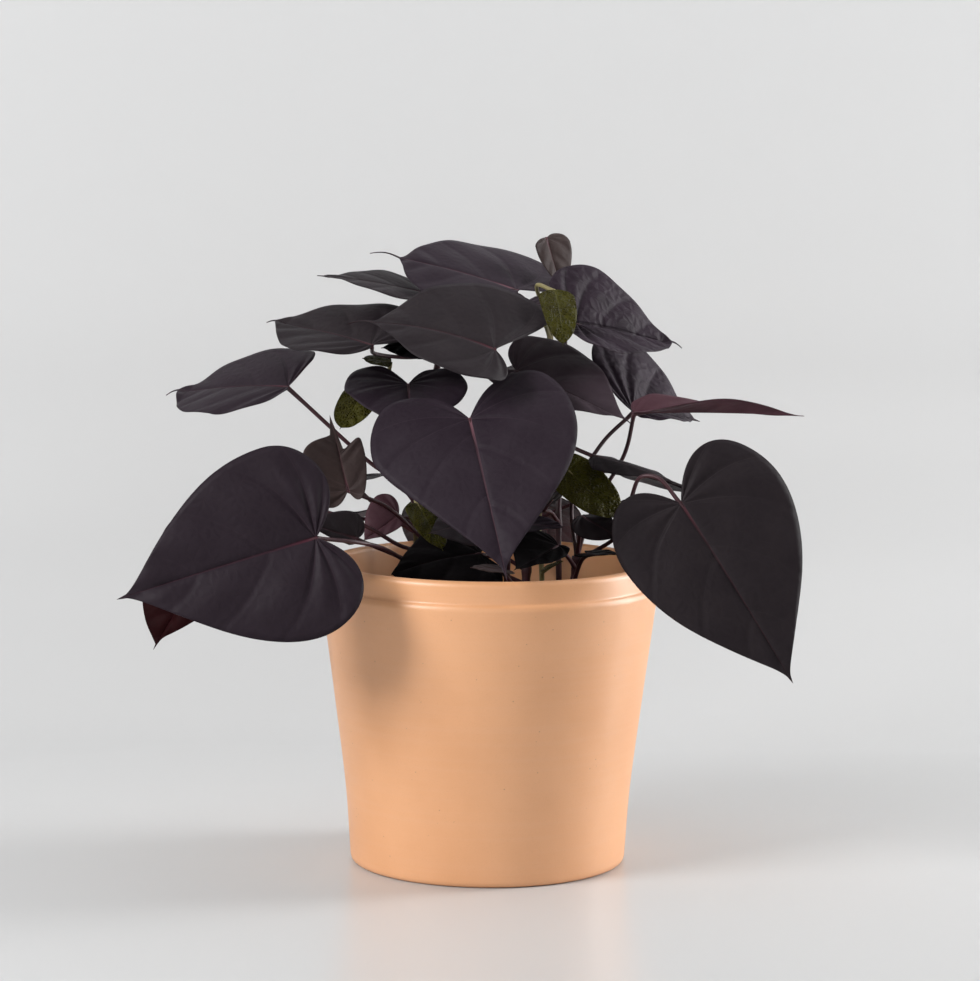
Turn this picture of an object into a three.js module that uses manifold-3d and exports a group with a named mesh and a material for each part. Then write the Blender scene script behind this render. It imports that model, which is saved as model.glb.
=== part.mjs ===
// A sweet potato vine with near-black heart-shaped leaves, growing in a terracotta pot.
// Millimetres, +Z up. The origin is the middle of the pot's underside, on the pot's axis.
// The plant's front is towards -Y, and its left is towards -X.

import * as THREE from "three";
import { mergeVertices } from "three/addons/utils/BufferGeometryUtils.js";
import Module from "manifold-3d";

const wasm = await Module();
wasm.setup();

// ---------------------------------------------------------------- driving dimensions

const POT_HEIGHT = 180;
const POT_RADIUS = 100; // at the ridge under the collar
const POT_COLLAR_RADIUS = 97.8; // the short neck between the ridge and the lip
const POT_COLLAR_HEIGHT = 17;
const POT_LIP_ROUND = 4;
const POT_FOOT_RADIUS = 79; // where the underside meets the rounded foot
const POT_FOOT_ROUND = 3;
const POT_WALL = 7;
const POT_FLOOR = 8;
const POT_FLOOR_ROUND = 8; // the inside corner between floor and wall
const POT_SIDES = 48;

const SOIL_TOP = 150;
const SOIL_LUMPS = 2.2; // height of the lumps in the soil's surface
const SOIL_SIDES = 36;
const SOIL_RINGS = 7;
const SEAT_GAP = 0.3; // clearance between pieces that touch
const FACET_SAG = 0.3; // how far a straight side of the soil or the pot's bore falls inside its circle

const BLADE_THICKNESS = 0.8;
const VEIN_LEAN = 0.6; // how far a side vein runs forward for each unit that it runs outward
const STEM_SIDES = 8;
const STEM_STEP = 16; // length of a stem's straight segments
const STALK_RADIUS = 1.3; // the leaf stalks
const STALK_SIDES = 6;
const STALK_STEP = 13;
const ROOT_DEPTH = 16; // how far a stem reaches down into its hole in the soil
const HOLE_CLEARANCE = 0.4;
const HOLE_SIDES = 12;

// ---------------------------------------------------------------- colours and finishes

const FINISHES = {
  terracotta: { color: 0xe6a778, roughness: 0.8, metalness: 0 },
  soil: { color: 0x2b211a, roughness: 1, metalness: 0 },
  darkLeaf: { color: 0x2c2530, roughness: 0.6, metalness: 0 },
  wineStem: { color: 0x3a1720, roughness: 0.5, metalness: 0 },
  greenLeaf: { color: 0x4c5a26, roughness: 0.55, metalness: 0 },
  paleStem: { color: 0x8a8450, roughness: 0.6, metalness: 0 },
};

// ---------------------------------------------------------------- stems

// Each stem rises from the soil through its points. The stalks of its leaves are fused to it.
const STEMS = {
  centre: { radius: 2.2, points: [
    [-18, 10, 150], [-24, 14, 205], [-34, 34, 262], [-30, 36, 300], [-16, 32, 322], [-2, 28, 332]] },
  right: { radius: 1.8, points: [[42, 14, 150], [41, 16, 200], [42, 32, 250], [44, 42, 295], [45, 50, 330]] },
  front: { radius: 2, points: [[10, -10, 150], [10, -12, 180], [4, -12, 215], [-9, -14, 242]] },
  left: { radius: 2, points: [[-34, 2, 150], [-35, 0, 175], [-40, -4, 198]] },
  side: { radius: 2, points: [[48, -4, 150], [50, -5, 170], [52, -5, 184]] },
  back: { radius: 2.2, points: [[22, 50, 150], [24, 56, 195], [26, 60, 245], [28, 58, 286]] },
  companion_right: { radius: 1.5, points: [
    [31, -14, 150], [31, -14, 170], [29, 8, 205], [30, 34, 250], [33, 46, 290], [36, 42, 312]] },
  companion_left: { radius: 1.5, points: [
    [-44, 10, 150], [-44, 12, 180], [-46, 14, 215], [-58, 20, 246], [-66, 34, 268]] },
};

// ---------------------------------------------------------------- leaves

// base is where the stalk meets the blade, and tip is the blade's point. With roll 0 the upper
// face looks as far up as it can, and roll turns it about the line from base to tip. width is
// the whole blade's. fold lifts the two halves from the midrib, cup curls them further towards
// their edges, droop arches the midrib and twist turns the blade from base to tip, all in
// degrees. at is where the stalk leaves its stem, from 0 in the soil to 1, and via are points that
// it passes. The other settings shape the outline, as USUAL_OUTLINE says. A pair of values is for
// the half on the left of someone looking from base to tip, then for the right half.
const LEAVES = {
  front_heart: { stem: "front", at: 0.97, via: [[-12, -32, 261]], base: [-12, -48, 268],
    tip: [10, -112, 183], width: 120, roll: 20, fold: 6, cup: -14, droop: 24,
    full: [0.5, 0.3], lobe: [1.35, 1.25], tail: 0.07 },
  left_large: { stem: "left", at: 0.55, via: [[-55, -34, 187], [-71, -76, 199]], base: [-98, -98, 205],
    tip: [-209, -112, 171], width: [111, 116], roll: -72, fold: 8, cup: -12, droop: 10,
    full: [0.48, 0.56], lobe: [0.85, 0.75] },
  left_under: { stem: "left", at: 0.8, via: [[-52, -18, 190], [-76, -26, 204], [-120, -28, 214]],
    base: [-160, -40, 192], tip: [-195, -47, 132], width: [40, 66], roll: -55, fold: 6, cup: -10,
    full: 0.7, blunt: [0, 0.8] },
  left_tucked: { stem: "left", at: 0.62, via: [[-52, -24, 184]], base: [-77, -40, 197],
    tip: [-108, -52, 208], width: [10, 30], roll: -72, lobe: [0.2, 0.6] },
  left_upright: { stem: "left", at: 0.9, via: [[-60, -14, 212]], base: [-83, -28, 224],
    tip: [-94, -20, 267], width: [50, 30], roll: -45, fold: 10, twist: 20, widest: [0.35, 0.5],
    full: 0.8, lobe: 1.2, tail: [0.25, 0.46], neck: [0.12, 0.2], blunt: [0.8, 1] },
  left_upper: { stem: "left", at: 1, via: [[-46, -4, 216], [-60, -6, 230], [-71, -6, 238]],
    base: [-119, -12, 283], tip: [-194, 25, 274], width: [74, 84], roll: -28, fold: [12, 6], cup: -12,
    droop: 15, widest: [0.4, 0.14], full: [0.76, 0.57], lobe: [0.4, 0.4], spread: [0, 1], tail: 0.12,
    blunt: [0.9, 0.4] },
  left_shoulder: { stem: "centre", at: 0.66, via: [[-50, 36, 297], [-68, 20, 300]], base: [-70, -15, 308],
    tip: [-134, 25, 318], width: [68, 88], roll: -28, fold: [18, 2], cup: -10, droop: 15,
    widest: [0.4, 0.14], full: [0.62, 0.5], lobe: [0.4, 1.1], tail: 0.1, blunt: [0.6, 0.4] },
  left_curled: { stem: "left", at: 0.97, via: [], base: [-54, -1, 206], tip: [-75, -5, 191],
    width: [16, 36], roll: -60, fold: [20, 0], lobe: [0.4, 0.9], blunt: 0.6 },
  crown_centre: { stem: "centre", at: 0.8, via: [[-8, -8, 300]], base: [2, -40, 308], tip: [-84, -14, 320],
    width: [64, 104], roll: -34, cup: [6, 0], droop: 36, full: [0.5, 0.62], lobe: [0.8, 1],
    spread: [0, 1], tail: 0.17, blunt: [0.2, 0.3] },
  crown_top: { stem: "centre", at: 1, via: [[6, 32, 333]], base: [15, 38, 338], tip: [-73, 40, 359],
    width: [80, 106], roll: -24, cup: -8, droop: 14, full: [0.8, 0.62], lobe: [0.25, 1.5],
    spread: [0, 0.3], tail: 0.2, blunt: [0.8, 0.5] },
  crown_left: { stem: "centre", at: 0.9, via: [[-30, 32, 328]], base: [-39, 30, 336], tip: [-103, 10, 347],
    width: [50, 60], roll: -14, droop: 10 },
  crown_bud: { stem: "centre", at: 0.97, via: [[10, 18, 322]], base: [20, 15, 330], tip: [34, 5, 332],
    width: 18, roll: 30, full: 0.8, lobe: 0.5, tail: 0.02, blunt: 1 },
  crown_small: { stem: "right", at: 1, via: [[44, 66, 348]], base: [33, 60, 368], tip: [42, 52, 338],
    width: [32, 22], roll: 25, fold: [-10, 20], full: 0.7, lobe: [0.5, 0.15] },
  crown_right: { stem: "right", at: 0.93, via: [[50, 22, 314]], base: [50, 8, 320], tip: [115, 45, 303],
    width: [84, 62], roll: 34, fold: [22, 10], droop: 12, lobe: [0.9, 0.7], tail: 0.12, blunt: [0.3, 0.9] },
  right_middle: { stem: "side", at: 0.95, via: [[49, 2, 216], [66, 12, 248]], base: [85, 16, 267],
    tip: [127, 54, 258], width: [112, 44], roll: 38, fold: [14, 30], droop: 10,
    full: [0.78, 0.5], lobe: [1.3, 0.5], tail: 0.08 },
  right_spear: { stem: "side", at: 1, via: [[61, -3, 211], [79, 3, 242]], base: [84, -18, 270],
    tip: [183, -24, 269], width: [30, 32], roll: 0, fold: [50, 0], twist: -80, droop: 6, full: 0.6,
    lobe: 0.2 },
  centre_right: { stem: "right", at: 0.72, via: [[28, 14, 286]], base: [15, 4, 292], tip: [83, -26, 263],
    width: [78, 42], roll: 32, fold: [4, 10], cup: -12, droop: 12, tail: 0.08 },
  centre_left: { stem: "centre", at: 0.55, via: [[-47, 17, 266]], base: [-49, 10, 283],
    tip: [-46, -36, 257], width: [70, 76], roll: 0, fold: 6, cup: -8, full: 0.4, lobe: 1.5 },
  under_crown: { stem: "centre", at: 0.72, via: [[-34, 20, 304]], base: [-40, 4, 308], tip: [-65, 2, 305],
    width: 32, roll: -30 },
  right_thin: { stem: "right", at: 0.6, via: [[49, 2, 247]], base: [62, -14, 244], tip: [112, -48, 230],
    width: [38, 28], roll: 6, fold: -16, droop: 10, lobe: 0.2, tail: 0.1 },
  right_large: { stem: "side", at: 0.9, via: [[76, -28, 200], [82, -40, 222], [87, -47, 235], [97, -52, 235]],
    base: [110, -58, 221], tip: [174, -82, 121], width: [118, 98], roll: 58, fold: 4, cup: -12,
    droop: 14, full: [0.52, 0.56], lobe: [1, 0.85], tail: 0.04 },
  mouth_left: { stem: "front", at: 0.5, via: [[2, -18, 184]], base: [-6, -24, 187], tip: [-57, -46, 177],
    width: [76, 60], roll: -25, droop: 20, full: [0.8, 0.6], lobe: [0.5, 1], tail: 0.01, blunt: [1, 0.4] },
  mouth_back: { stem: "front", at: 0.65, via: [], base: [-8, -20, 206], tip: [-36, -46, 201],
    width: [42, 30], roll: -35 },
  mouth_front: { stem: "front", at: 0.3, via: [[14, -34, 168]], base: [8, -50, 181], tip: [-11, -64, 184],
    width: 18, roll: -10, full: 0.8 },
  mouth_centre: { stem: "side", at: 0.8, via: [[46, -16, 184]], base: [40, -26, 192], tip: [14, -60, 182],
    width: [18, 46], roll: -28, lobe: 0.6 },
  mouth_sheen: { stem: "front", at: 0.7, via: [], base: [18, -18, 204], tip: [44, -36, 204],
    width: 28, roll: 14, lobe: 0.6 },
  mouth_dark: { stem: "right", at: 0.4, via: [[36, 4, 208]], base: [31, -4, 211], tip: [48, -10, 229],
    width: 34, roll: 0 },
  mouth_twisted: { stem: "side", at: 1, via: [], base: [54, -20, 209], tip: [76, -38, 198],
    width: 24, roll: 10, twist: 90, fold: -12, lobe: 0.3 },
  mouth_right: { stem: "side", at: 0.6, via: [[54, -18, 182]], base: [57, -28, 188], tip: [76, -46, 190],
    width: 18, roll: 8 },
  back_left: { stem: "back", at: 0.35, via: [[-30, 62, 194]], base: [-98, 56, 197], tip: [-178, 92, 158],
    width: 88, roll: 0, droop: 20, cup: -12, tail: 0.1 },
  back_right: { stem: "back", at: 0.5, via: [[60, 60, 208]], base: [108, 58, 200], tip: [170, 98, 140],
    width: 84, roll: 0, droop: 20, cup: -12, tail: 0.1 },
  back_side_left: { stem: "back", at: 0.3, via: [[-52, 58, 192], [-77, 55, 212]], base: [-85, 54, 222],
    tip: [-148, 88, 196], width: 72, roll: 0, droop: 20, cup: -12, tail: 0.1 },
  back_side_right: { stem: "back", at: 0.55, via: [[60, 56, 226]], base: [94, 52, 226],
    tip: [146, 84, 198], width: 62, roll: 0, droop: 20, cup: -12, tail: 0.1 },
  back_upper: { stem: "back", at: 0.97, via: [[31, 74, 286]], base: [36, 90, 288], tip: [54, 146, 262],
    width: 62, roll: 0, droop: 18, cup: -12, tail: 0.1 },
  back_low_left: { stem: "back", at: 0.4, via: [[-6, 76, 205]], base: [-24, 92, 208], tip: [-46, 158, 150],
    width: 54, roll: 0, droop: 24, cup: -12, tail: 0.1 },
  back_low_right: { stem: "back", at: 0.35, via: [[26, 76, 196]], base: [30, 92, 202], tip: [44, 156, 146],
    width: 54, roll: 0, droop: 24, cup: -12, tail: 0.1 },
  back_middle: { stem: "back", at: 0.7, via: [[14, 74, 246]], base: [6, 82, 252], tip: [0, 142, 206],
    width: 84, roll: 0, droop: 20, cup: -12, tail: 0.1 },
  back_high_left: { stem: "centre", at: 0.66, via: [[-29, 54, 308]], base: [-28, 64, 312],
    tip: [-46, 118, 296], width: 50, roll: 0, droop: 18, cup: -12, tail: 0.1 },
  back_high_right: { stem: "right", at: 0.97, via: [[56, 60, 320]], base: [68, 68, 318], tip: [96, 122, 292],
    width: 60, roll: 0, droop: 18, cup: -12, tail: 0.1 },
  back_crown: { stem: "centre", at: 0.9, via: [[-8, 54, 330]], base: [-8, 66, 334], tip: [-16, 124, 312],
    width: 60, roll: 0, droop: 18, cup: -12, tail: 0.1 },
  green_top: { stem: "companion_right", at: 1, via: [[30, 27, 330], [27, 15, 342]], base: [37, 1, 340],
    tip: [42, -18, 308], width: 22, roll: 0, droop: 50, full: 0.8, lobe: 0.1, blunt: 1 },
  green_shaded: { stem: "companion_right", at: 0.97, via: [[32, 22, 318]], base: [28, 8, 323],
    tip: [13, 2, 313], width: 20, roll: -20, full: 0.8, blunt: 1 },
  green_right: { stem: "companion_right", at: 0.5, via: [[34, 2, 226]], base: [46, -14, 235],
    tip: [76, -34, 209], width: 32, roll: 30, full: 0.8, blunt: 1 },
  green_left: { stem: "companion_left", at: 1, via: [[-73, 22, 271]], base: [-76, 13, 277],
    tip: [-89, -2, 257], width: 24, roll: -20, full: 0.8, blunt: 1 },
  green_cap: { stem: "companion_left", at: 1, via: [[-62, 34, 284]], base: [-60, 28, 295],
    tip: [-77, 26, 297], width: 14, roll: -25, full: 0.8, lobe: 0.3, blunt: 1 },
  green_low: { stem: "companion_left", at: 0.62, via: [[-46, -2, 224]], base: [-42, -22, 215],
    tip: [-27, -38, 190], width: 24, roll: 0, full: 0.8, lobe: 0.4, blunt: 1 },
  green_foot: { stem: "companion_right", at: 0.22, via: [[31, -20, 174]], base: [31, -26, 178],
    tip: [43, -34, 184], width: 9, roll: 20, full: 0.8, lobe: 0.2, blunt: 1 },
};

// ---------------------------------------------------------------- the form of a blade

const USUAL_OUTLINE = {
  widest: 0.14, // the widest place, in blade lengths ahead of the stalk
  full: 0.54, // how full the fore part is, up to 1
  blunt: 0.3, // how far the shoulders swell next to the drip tip, up to 1
  tail: 0.05, // the drip tip's share of the blade's length
  neck: 0.02, // the drip tip's width at its root, as a share of the blade's
  lobe: 1, // how far the lobes reach back beside the stalk
  spread: 0, // how far the notch between the lobes opens, up to 1
};
const TAIL_ROWS = 1 / 12; // the share of the rows of facets in the drip tip
const FORE_ROWS = 7 / 12; // the share of the rows ahead of the widest place
const LARGE_BLADE = { rows: 12, halfColumns: 2 };
const SMALL_BLADE = { rows: 12, halfColumns: 1 };
const SMALL_WIDTH = 48; // blades narrower than this take the coarser grid

const point2 = (x, y) => new THREE.Vector2(x, y);
const point3 = (p) => new THREE.Vector3(...p);
const radians = THREE.MathUtils.degToRad;

// Both halves' values of a setting that may be one number or one for each half.
const pair = (value) => (Array.isArray(value) ? value : [value, value]);

// Half of a heart's outline as a function of t, from 0 at the tip to 1 at the notch: the slim
// drip tip, the fore edge and the lobe. Its x is in blade lengths ahead of the stalk and its y in
// half widths.
function halfOutline(leaf, half) {
  const setting = (key) => pair(leaf[key] ?? USUAL_OUTLINE[key])[half];
  const [blunt, neck, lobe, spread] = ["blunt", "neck", "lobe", "spread"].map(setting);
  const point = point2(1, 0);
  const root = point2(1 - setting("tail"), neck);
  const shoulder = point2((0.84 + 0.1 * blunt) * root.x, neck + 0.35 * blunt);
  const side = point2(setting("widest"), 1);
  const back = point2(side.x - (0.3 + 0.35 * spread) * lobe, 1.02 + 0.08 * spread);
  const inner = point2(-0.36 * (1 - 0.67 * spread) * lobe, 0.44);
  const foreEdge = new THREE.CubicBezierCurve(root, shoulder, point2(setting("full"), 0.98), side);
  const lobeEdge = new THREE.CubicBezierCurve(side, back, inner, point2(0, 0));
  return (t) => {
    if (t < TAIL_ROWS) return point.clone().lerp(root, t / TAIL_ROWS);
    if (t < FORE_ROWS) return foreEdge.getPoint((t - TAIL_ROWS) / (FORE_ROWS - TAIL_ROWS));
    return lobeEdge.getPoint((t - FORE_ROWS) / (1 - FORE_ROWS));
  };
}

// A function that carries a leaf's flat outline into space: across is from -1 to 1, over the
// width, and t runs from the tip to the notch.
function bladeForm(leaf) {
  const base = point3(leaf.base);
  const chord = point3(leaf.tip).sub(base);
  const forward = chord.clone().normalize();
  const levelUp = new THREE.Vector3(0, 0, 1).addScaledVector(forward, -forward.z).normalize();
  const up = levelUp.applyAxisAngle(forward, radians(leaf.roll));
  const side = up.clone().cross(forward);
  // Angles that are nought become tiny ones, because an arc's radius is a length over its angle.
  const droop = radians(leaf.droop ?? 0) || 1e-6;
  const length = (chord.length() * droop) / (2 * Math.sin(droop / 2));
  const folds = pair(leaf.fold ?? 0).map(radians);
  const cups = pair(leaf.cup ?? 0).map((cup) => radians(cup) || 1e-6);
  const twist = radians(leaf.twist ?? 0);
  const halfWidths = pair(leaf.width).map((width) => width / 2);
  const outlines = [halfOutline(leaf, 0), halfOutline(leaf, 1)];

  return function place(t, across) {
    const share = Math.abs(across);
    const half = across < 0 ? 1 : 0;
    const halfWidth = halfWidths[half];
    const edge = outlines[half](t);
    const ribX = Math.max(0, edge.x * length - VEIN_LEAN * edge.y * halfWidth);
    const x = ribX + (edge.x * length - ribX) * share;
    const y = edge.y * halfWidth * share;
    // The half blade's cross-section is an arc that starts at its fold.
    const fold = folds[half];
    const turn = (cups[half] * y) / halfWidth;
    const bend = halfWidth / cups[half];
    const out = bend * (Math.sin(fold + turn) - Math.sin(fold)) * Math.sign(across || 1);
    const rise = bend * (Math.cos(fold) - Math.cos(fold + turn));
    // The section turns with the twist, and the midrib's arc carries it.
    const angle = (twist * x) / length;
    const outTwisted = out * Math.cos(angle) - rise * Math.sin(angle);
    const riseTwisted = out * Math.sin(angle) + rise * Math.cos(angle);
    const slope = droop / 2 - (droop * x) / length;
    const radius = length / droop;
    const along = radius * (Math.sin(droop / 2) - Math.sin(slope)) - riseTwisted * Math.sin(slope);
    const height = radius * (Math.cos(slope) - Math.cos(droop / 2)) + riseTwisted * Math.cos(slope);
    return base.clone()
      .addScaledVector(forward, along)
      .addScaledVector(side, outTwisted)
      .addScaledVector(up, height);
  };
}

// The mid-surface of a blade: its points, its triangles with the upper face outwards, and the
// edges of its rim.
function bladeSurface(leaf) {
  const place = bladeForm(leaf);
  const small = Math.max(...pair(leaf.width)) < SMALL_WIDTH;
  const { rows, halfColumns } = small ? SMALL_BLADE : LARGE_BLADE;
  const points = [];
  const known = new Map();
  function vertex(row, column) {
    const p = place(row / rows, column / halfColumns);
    const key = p.toArray().map((value) => value.toFixed(4)).join();
    if (!known.has(key)) {
      known.set(key, points.length);
      points.push(p);
    }
    return known.get(key);
  }
  const triangles = [];
  function addTriangle(a, b, c) {
    if (a !== b && b !== c && c !== a) triangles.push([a, b, c]);
  }
  const rim = [];
  for (let row = 0; row < rows; row++) {
    for (let column = -halfColumns; column < halfColumns; column++) {
      const a = vertex(row, column);
      const b = vertex(row, column + 1);
      const c = vertex(row + 1, column + 1);
      const d = vertex(row + 1, column);
      addTriangle(a, b, d);
      addTriangle(b, c, d);
    }
    rim.push([vertex(row, halfColumns), vertex(row + 1, halfColumns)]);
    rim.push([vertex(row + 1, -halfColumns), vertex(row, -halfColumns)]);
  }
  return { points, triangles, rim: rim.filter(([a, b]) => a !== b) };
}

// A closed blade: the mid-surface moved out both ways along its normals, with a wall at its rim.
function bladeGeometry(leaf) {
  const { points, triangles, rim } = bladeSurface(leaf);
  const normals = points.map(() => new THREE.Vector3());
  for (const [a, b, c] of triangles) {
    const normal = points[b].clone().sub(points[a]).cross(points[c].clone().sub(points[a]));
    for (const corner of [a, b, c]) normals[corner].add(normal);
  }
  for (const normal of normals) normal.normalize();
  const half = BLADE_THICKNESS / 2;
  const upper = points.map((p, i) => p.clone().addScaledVector(normals[i], half));
  const lower = points.map((p, i) => p.clone().addScaledVector(normals[i], -half));
  const count = points.length;
  const faces = [];
  for (const [a, b, c] of triangles) {
    faces.push(a, b, c);
    faces.push(count + a, count + c, count + b);
  }
  for (const [a, b] of rim) {
    faces.push(b, a, count + a);
    faces.push(b, count + a, count + b);
  }
  const geometry = new THREE.BufferGeometry();
  const places = [...upper, ...lower].flatMap((p) => p.toArray());
  geometry.setAttribute("position", new THREE.Float32BufferAttribute(places, 3));
  geometry.setIndex(faces);
  geometry.computeVertexNormals();
  return geometry;
}

// ---------------------------------------------------------------- solids from geometries

function solidOf(geometry) {
  const bare = geometry.clone();
  bare.deleteAttribute("normal");
  bare.deleteAttribute("uv");
  const merged = mergeVertices(bare, 1e-3);
  const vertProperties = merged.attributes.position.array;
  const triVerts = new Uint32Array(merged.index.array);
  return new wasm.Manifold(new wasm.Mesh({ numProp: 3, vertProperties, triVerts }));
}

function geometryOf(solid) {
  const mesh = solid.getMesh();
  const geometry = new THREE.BufferGeometry();
  geometry.setAttribute("position", new THREE.BufferAttribute(mesh.vertProperties, 3));
  geometry.setIndex(new THREE.BufferAttribute(mesh.triVerts, 1));
  geometry.computeVertexNormals();
  return geometry;
}

// ---------------------------------------------------------------- stems and stalks

const curveThrough = (points) => new THREE.CatmullRomCurve3(points, false, "centripetal");

function tubeGeometry(curve, radius, sides, step) {
  const section = new THREE.Shape();
  for (let i = 0; i <= sides; i++) {
    const angle = (2 * Math.PI * i) / sides;
    const corner = point2(radius * Math.cos(angle), radius * Math.sin(angle));
    if (i === 0) section.moveTo(corner.x, corner.y);
    else section.lineTo(corner.x, corner.y);
  }
  const steps = Math.max(2, Math.round(curve.getLength() / step));
  return new THREE.ExtrudeGeometry(section, { steps, bevelEnabled: false, extrudePath: curve });
}

// The stem's curve starts below its first point, in its hole in the soil.
function stemCurve(stem) {
  const [x, y, z] = stem.points[0];
  return curveThrough([[x, y, z - ROOT_DEPTH], ...stem.points].map(point3));
}

// A stalk ends just under its blade. Its end is a disc square to the stalk, and the disc's
// nearest edge clears the blade by the seat gap.
function stalkCurve(leaf, stem) {
  const place = bladeForm(leaf);
  const base = place(1, 0);
  const ahead = place(0.25, 0).sub(base);
  const across = place(0.6, 0.4).sub(place(0.6, -0.4));
  const down = across.cross(ahead).normalize();
  const route = [stemCurve(stem).getPoint(leaf.at), ...leaf.via.map(point3)];
  const arriving = base.clone().sub(route.at(-1)).normalize();
  const discReach = STALK_RADIUS * Math.sqrt(1 - arriving.dot(down) ** 2);
  const end = base.addScaledVector(down, BLADE_THICKNESS / 2 + SEAT_GAP + discReach);
  return curveThrough([...route, end]);
}

function stemGeometry(name) {
  const stem = STEMS[name];
  let solid = solidOf(tubeGeometry(stemCurve(stem), stem.radius, STEM_SIDES, STEM_STEP));
  for (const leaf of Object.values(LEAVES)) {
    if (leaf.stem !== name) continue;
    const stalk = tubeGeometry(stalkCurve(leaf, stem), STALK_RADIUS, STALK_SIDES, STALK_STEP);
    solid = solid.add(solidOf(stalk));
  }
  return geometryOf(solid);
}

// ---------------------------------------------------------------- the pot and its soil

// The inner wall leans as the outer one does, so its radius grows evenly with height.
const POT_BORE_FOOT = POT_FOOT_RADIUS + POT_FOOT_ROUND - POT_WALL;
const POT_BORE_RIM = POT_COLLAR_RADIUS - POT_WALL;

function boreRadius(height) {
  const share = (height - POT_FLOOR) / (POT_HEIGHT - POT_FLOOR);
  return POT_BORE_FOOT + (POT_BORE_RIM - POT_BORE_FOOT) * share;
}

function potGeometry() {
  const foot = POT_FOOT_RADIUS + POT_FOOT_ROUND;
  const ridgeHeight = POT_HEIGHT - POT_COLLAR_HEIGHT;
  const lip = POT_COLLAR_RADIUS - 0.4;
  const profile = new THREE.Path();
  profile.moveTo(0, 0);
  profile.lineTo(POT_FOOT_RADIUS, 0);
  profile.quadraticCurveTo(foot, 0, foot, POT_FOOT_ROUND + 2);
  // The wall swells a little on its way up to the ridge.
  profile.splineThru([
    point2(foot + 3, 0.28 * ridgeHeight),
    point2(foot + 9.5, 0.6 * ridgeHeight),
    point2(POT_RADIUS - 1.6, 0.92 * ridgeHeight),
    point2(POT_RADIUS, ridgeHeight),
  ]);
  profile.quadraticCurveTo(POT_RADIUS, ridgeHeight + 3, POT_COLLAR_RADIUS, ridgeHeight + 4);
  profile.lineTo(lip, POT_HEIGHT - POT_LIP_ROUND);
  profile.quadraticCurveTo(lip, POT_HEIGHT, lip - POT_LIP_ROUND, POT_HEIGHT);
  profile.quadraticCurveTo(POT_BORE_RIM, POT_HEIGHT,
    boreRadius(POT_HEIGHT - POT_LIP_ROUND), POT_HEIGHT - POT_LIP_ROUND);
  profile.lineTo(boreRadius(POT_FLOOR + POT_FLOOR_ROUND), POT_FLOOR + POT_FLOOR_ROUND);
  profile.quadraticCurveTo(POT_BORE_FOOT, POT_FLOOR, POT_BORE_FOOT - POT_FLOOR_ROUND, POT_FLOOR);
  profile.lineTo(0, POT_FLOOR);
  return new THREE.LatheGeometry(profile.getPoints(3), POT_SIDES).rotateX(Math.PI / 2);
}

// The soil's lumps: three crossed waves of different lengths, none of them at the pot's wall.
function soilHeight(x, y, rimRadius) {
  const lumps = Math.sin(x / 9 + y / 17) + Math.sin(y / 11 - x / 23) + Math.sin((x + y) / 6);
  const distance = Math.hypot(x, y) / rimRadius;
  return SOIL_TOP + (SOIL_LUMPS / 3) * lumps * (1 - distance ** 4);
}

// The soil fills the pot up to its lumpy top, which has a plain hole for each stem.
function soilGeometry() {
  const clearance = SEAT_GAP + FACET_SAG;
  const low = POT_FLOOR + SEAT_GAP;
  const rim = boreRadius(SOIL_TOP) - clearance;
  const profile = [
    point2(0, low),
    point2(POT_BORE_FOOT - POT_FLOOR_ROUND - clearance, low),
    point2(boreRadius(low + POT_FLOOR_ROUND) - clearance, low + POT_FLOOR_ROUND + 1),
  ];
  for (let ring = SOIL_RINGS; ring >= 0; ring--) {
    profile.push(point2((rim * ring) / SOIL_RINGS, SOIL_TOP));
  }
  const geometry = new THREE.LatheGeometry(profile, SOIL_SIDES).rotateX(Math.PI / 2);
  const places = geometry.attributes.position;
  for (let i = 0; i < places.count; i++) {
    if (places.getZ(i) < SOIL_TOP - 1) continue;
    places.setZ(i, soilHeight(places.getX(i), places.getY(i), rim));
  }
  let solid = solidOf(geometry);
  for (const stem of Object.values(STEMS)) {
    const [x, y] = stem.points[0];
    const radius = stem.radius + HOLE_CLEARANCE;
    const hole = new THREE.CylinderGeometry(radius, radius, 2 * ROOT_DEPTH + 4, HOLE_SIDES);
    hole.rotateX(Math.PI / 2);
    hole.translate(x, y, SOIL_TOP);
    solid = solid.subtract(solidOf(hole));
  }
  return geometryOf(solid);
}

// ---------------------------------------------------------------- the object

const plant = new THREE.Group();

function addPiece(name, geometry, finish) {
  const piece = new THREE.Mesh(geometry, new THREE.MeshStandardMaterial(FINISHES[finish]));
  piece.name = name;
  plant.add(piece);
}

const isCompanion = (stemName) => stemName.startsWith("companion");

addPiece("pot", potGeometry(), "terracotta");
addPiece("soil", soilGeometry(), "soil");
for (const name of Object.keys(STEMS)) {
  addPiece("stem_" + name, stemGeometry(name), isCompanion(name) ? "paleStem" : "wineStem");
}
for (const [name, leaf] of Object.entries(LEAVES)) {
  addPiece("leaf_" + name, bladeGeometry(leaf), isCompanion(leaf.stem) ? "greenLeaf" : "darkLeaf");
}

export default plant;
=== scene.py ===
"""A sweet potato vine with near-black heart-shaped leaves on wine-red stalks, with a few quilted green
leaves of a companion plant, in a terracotta pot.

The scene is in metres, +Z up, with the pot's foot at the origin and the plant's front towards -Y. The
tables of stems and leaves are in millimetres and degrees, and MM turns them into metres.
"""

import math

import bpy
import numpy as np
from mathutils import Matrix, Vector


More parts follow.
